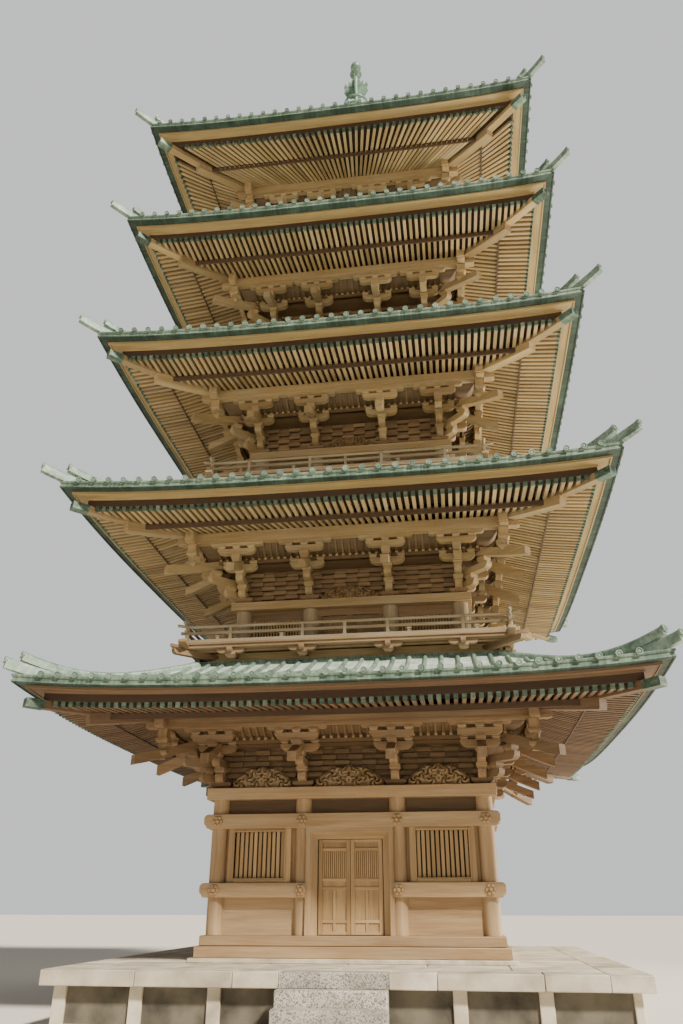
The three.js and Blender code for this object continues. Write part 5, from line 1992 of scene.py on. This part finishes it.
@dataclass
class Finial:
    """The bronze finial: basin, bowl, lotus, nine rings, flame, wheel and jewel."""

    rings: int = 9
    spacing: float = 0.355
    first_ring: float = 0.1895
    top_ring: float = 0.43
    ring_section: Span = (0.035, 0.045)
    mast: float = 0.08
    basin_height: float = 0.56
    bowl_radius: float = 0.43
    flame_height: float = 1.10
    flame_half: float = 0.43

    def build(self) -> None:
        """Build and dress the finial on its nodes' own places."""
        add_piece("finial_basin_and_lotus", self.base(), BRONZE, replaces=("finial_base",), sharp=40)
        add_piece("finial_nine_rings", self.nine_rings(), BRONZE, replaces=("finial_rings",), sharp=50)
        add_piece("finial_flame_plates", self.flame(), BRONZE, replaces=("finial_flame",))
        add_piece("finial_wheel_and_jewel", self.jewel(), BRONZE, replaces=("finial_jewel",), sharp=50)

    def base(self) -> Form:
        """A square basin with a stepped rim, the upturned bowl, and lotus petals.

        The petals' rim stands at 0.14 + 0.32 s^0.7 (0.90 + 0.10 |cos 4t|) from the axis, with s
        the share of the way up.
        """
        low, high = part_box("finial_base")
        foot, half = low[2], high[0]
        rim = foot + self.basin_height
        basin = square_ring([(half - 0.06, foot), (half - 0.06, rim - 0.14), (half, rim - 0.11), (half, rim),
                             (0.05, rim), (0.05, foot)])
        turn = np.linspace(0.0, math.pi / 2 * 0.82, 10)
        bowl = list(zip(self.bowl_radius * np.cos(turn), rim + self.bowl_radius * np.sin(turn)))
        dome = lathe(bowl + [(0.12, rim + 0.46), (0.15, rim + 0.52)], 32)
        spread = np.linspace(0.0, 2 * math.pi, 64, endpoint=False)
        share = np.linspace(0.0, 1.0, 8)[:, None]
        radius = 0.14 + 0.32 * share ** 0.7 * (0.90 + 0.10 * np.abs(np.cos(4 * spread)))
        height = rim + 0.50 + 0.28 * share ** 1.6 + 0 * spread
        outside = np.stack([radius * np.cos(spread), radius * np.sin(spread), height], axis=-1)
        radius = radius - 0.03
        inside = np.stack([radius * np.cos(spread), radius * np.sin(spread), height + 0.004], axis=-1)
        cup = np.concatenate([outside, inside[::-1]])
        petals = form_of(cup.reshape(-1, 3), {4: grid_faces(len(cup), len(spread), True, True)})
        hub = lathe([(0.10, rim + 0.5), (0.10, high[2])], 16)
        return merge([basin, dome, petals, hub])

    def nine_rings(self) -> Form:
        """Rings with a rounded section, four spokes and a hub each, on the mast."""
        low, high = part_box("finial_rings")
        parts = [lathe([(self.mast, low[2]), (self.mast * 0.8, high[2])], 16)]
        section = np.linspace(0.0, 2 * math.pi, 8, endpoint=False)[:, None]
        spread = np.linspace(0.0, 2 * math.pi, 40, endpoint=False)
        wide, tall = self.ring_section
        radii = np.linspace(high[1], self.top_ring, self.rings) - wide
        for index, radius in enumerate(radii):
            z = low[2] + self.first_ring + index * self.spacing
            reach = radius + wide * np.cos(section)
            ring = np.stack([reach * np.cos(spread), reach * np.sin(spread),
                             z + tall * np.sin(section) + 0 * spread], axis=-1)
            parts.append(form_of(ring.reshape(-1, 3), {4: grid_faces(8, 40, True, True)}))
            parts.append(lathe([(0.12, z - 0.05), (0.14, z), (0.12, z + 0.05)], 16))
            starts = np.array([[-radius, 0, z], [0, -radius, z]])
            parts.append(bars(starts, -starts + np.array([0, 0, 2 * z]), 0.035, 0.03))
        return merge(parts)

    def flame(self) -> Form:
        """Four flame plates, each with a leaping outer edge, round the mast."""
        low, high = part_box("finial_flame")
        # The plate's outline, as shares of its half width and height
        edge = [(0.05, 0.0), (0.45, 0.0), (0.75, 0.10), (0.97, 0.30), (0.88, 0.42), (0.98, 0.55),
                (0.86, 0.74), (0.70, 0.58), (0.62, 0.66), (0.60, 0.84), (0.38, 0.72), (0.30, 0.92),
                (0.10, 1.0), (0.05, 1.0)]
        outline = [(x * self.flame_half, z * self.flame_height) for x, z in edge]
        plate = moved(prism(outline, 0.03), (0, 0, low[2]))
        return merge([lathe([(0.06, low[2]), (0.06, high[2])], 16), four_sides(plate)])

    def jewel(self) -> Form:
        """The small wheel and the pointed jewel over it."""
        low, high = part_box("finial_jewel")
        z = low[2]
        wheel = lathe([(0.07, z), (0.17, z + 0.05), (0.21, z + 0.11), (0.17, z + 0.17), (0.07, z + 0.22),
                       (0.06, z + 0.30)], 32)
        share = np.linspace(0.0, 1.0, 16)
        radius = 0.19 * np.sin(math.pi * share ** 0.8) ** 0.7 * (1 - 0.25 * share) + 0.012
        height = np.linspace(z + 0.30, high[2], 16)
        return merge([wheel, lathe(list(zip(radius, height)), 32)])


# Studio


@dataclass
class Studio:
    """A plain pale floor, soft light and a camera at the photograph's viewing angle."""

    eye: Triple = (2.0, -18.1, 1.76)
    pitch: float = 26.45
    yaw: float = 7.9
    focal_pixels: float = 790.0
    long_side_pixels: float = 1024.0
    sensor: float = 36.0
    key_energy: float = 7.6
    key_spread: float = 6.0
    key_elevation: float = 40.0
    key_azimuth: float = 44.0
    fill_power: float = 4000.0
    fill_size: float = 8.0
    fill_spread: float = 130.0
    fill_place: Triple = (21.0, 5.5, 4.2)
    fill_aim: Triple = (3.5, 0.0, 11.0)
    sky_light: float = 0.29
    sky_seen: float = 0.85
    floor_half: float = 150.0

    def build(self) -> None:
        """Set up the camera, lights and floor."""
        self.camera()
        self.key()
        self.fill()
        self.sky()
        self.floor()

    def hold(self, name: str, data: bpy.types.ID) -> bpy.types.Object:
        """Put a camera, a lamp or a mesh in the scene."""
        holder = bpy.data.objects.new(name, data)
        bpy.context.scene.collection.objects.link(holder)
        return holder

    def camera(self) -> None:
        """The camera: its lens follows from the focal length in pixels."""
        data = bpy.data.cameras.new("camera")
        data.sensor_width = self.sensor
        data.lens = self.focal_pixels / self.long_side_pixels * self.sensor
        data.clip_end = 500.0
        holder = self.hold("camera", data)
        holder.location = self.eye
        holder.rotation_euler = (math.radians(90 + self.pitch), 0.0, math.radians(self.yaw))
        bpy.context.scene.camera = holder

    def key(self) -> None:
        """A warm key from the front right."""
        lamp = bpy.data.lights.new("key", "SUN")
        lamp.energy = self.key_energy
        lamp.angle = math.radians(self.key_spread)
        lamp.color = (1.0, 0.93, 0.82)
        holder = self.hold("key", lamp)
        holder.rotation_euler = (math.radians(90 - self.key_elevation), 0.0, math.radians(self.key_azimuth))

    def fill(self) -> None:
        """A broad warm fill from low on the right, which reaches up under the eaves."""
        lamp = bpy.data.lights.new("fill", "AREA")
        lamp.energy = self.fill_power
        lamp.size = self.fill_size
        lamp.spread = math.radians(self.fill_spread)
        lamp.color = (1.0, 0.92, 0.78)
        holder = self.hold("fill", lamp)
        holder.location = self.fill_place
        aim = Vector(self.fill_aim) - Vector(self.fill_place)
        holder.rotation_euler = aim.to_track_quat("-Z", "Y").to_euler()
        holder.visible_camera = False

    def sky(self) -> None:
        """An even pale sky that is brighter to look at than the light that it gives."""
        world = bpy.data.worlds.new("pale sky")
        world.use_nodes = True
        tree = world.node_tree
        background = tree.nodes["Background"]
        background.inputs["Color"].default_value = (0.93, 0.94, 0.95, 1.0)
        seen = add_node(tree, "ShaderNodeLightPath")
        strength = add_node(tree, "ShaderNodeMapRange", {"Value": seen.outputs["Is Camera Ray"],
                            "To Min": self.sky_light, "To Max": self.sky_seen})
        tree.links.new(strength.outputs[0], background.inputs["Strength"])
        bpy.context.scene.world = world

    def floor(self) -> None:
        """A wide pale floor, a hair under the podium's foot."""
        mesh = bpy.data.meshes.new("floor")
        far = self.floor_half
        mesh.from_pydata([(-far, -far, 0), (far, -far, 0), (far, far, 0), (-far, far, 0)], [], [(0, 1, 2, 3)])
        plane = self.hold("floor", mesh)
        plane.location.z = -0.002
        paint = bpy.data.materials.new("pale floor")
        paint.use_nodes = True
        shader = paint.node_tree.nodes["Principled BSDF"]
        shader.inputs["Base Color"].default_value = linear("#e4ddcf")
        shader.inputs["Roughness"].default_value = 0.9
        mesh.materials.append(paint)


def main() -> None:
    """Load the frame, build every sub-assembly and note the sizes."""
    logging.basicConfig(level=logging.INFO, format="%(message)s")
    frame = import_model()
    levels = read_levels()
    Studio().build()
    Podium().build()
    GroundStorey(levels[0]).build()
    for level in levels:
        BracketZone(level).build()
        Eaves(level).build()
        CopperRoof(level).build()
    for level, below in zip(levels[1:], levels):
        UpperStorey(level, below).build()
    Finial().build()
    kept = frame["nodes"]["ground_floor"]
    kept.material_slots[0].material = FRAME_TIMBER.material()


if __name__ == "__main__":
    main()
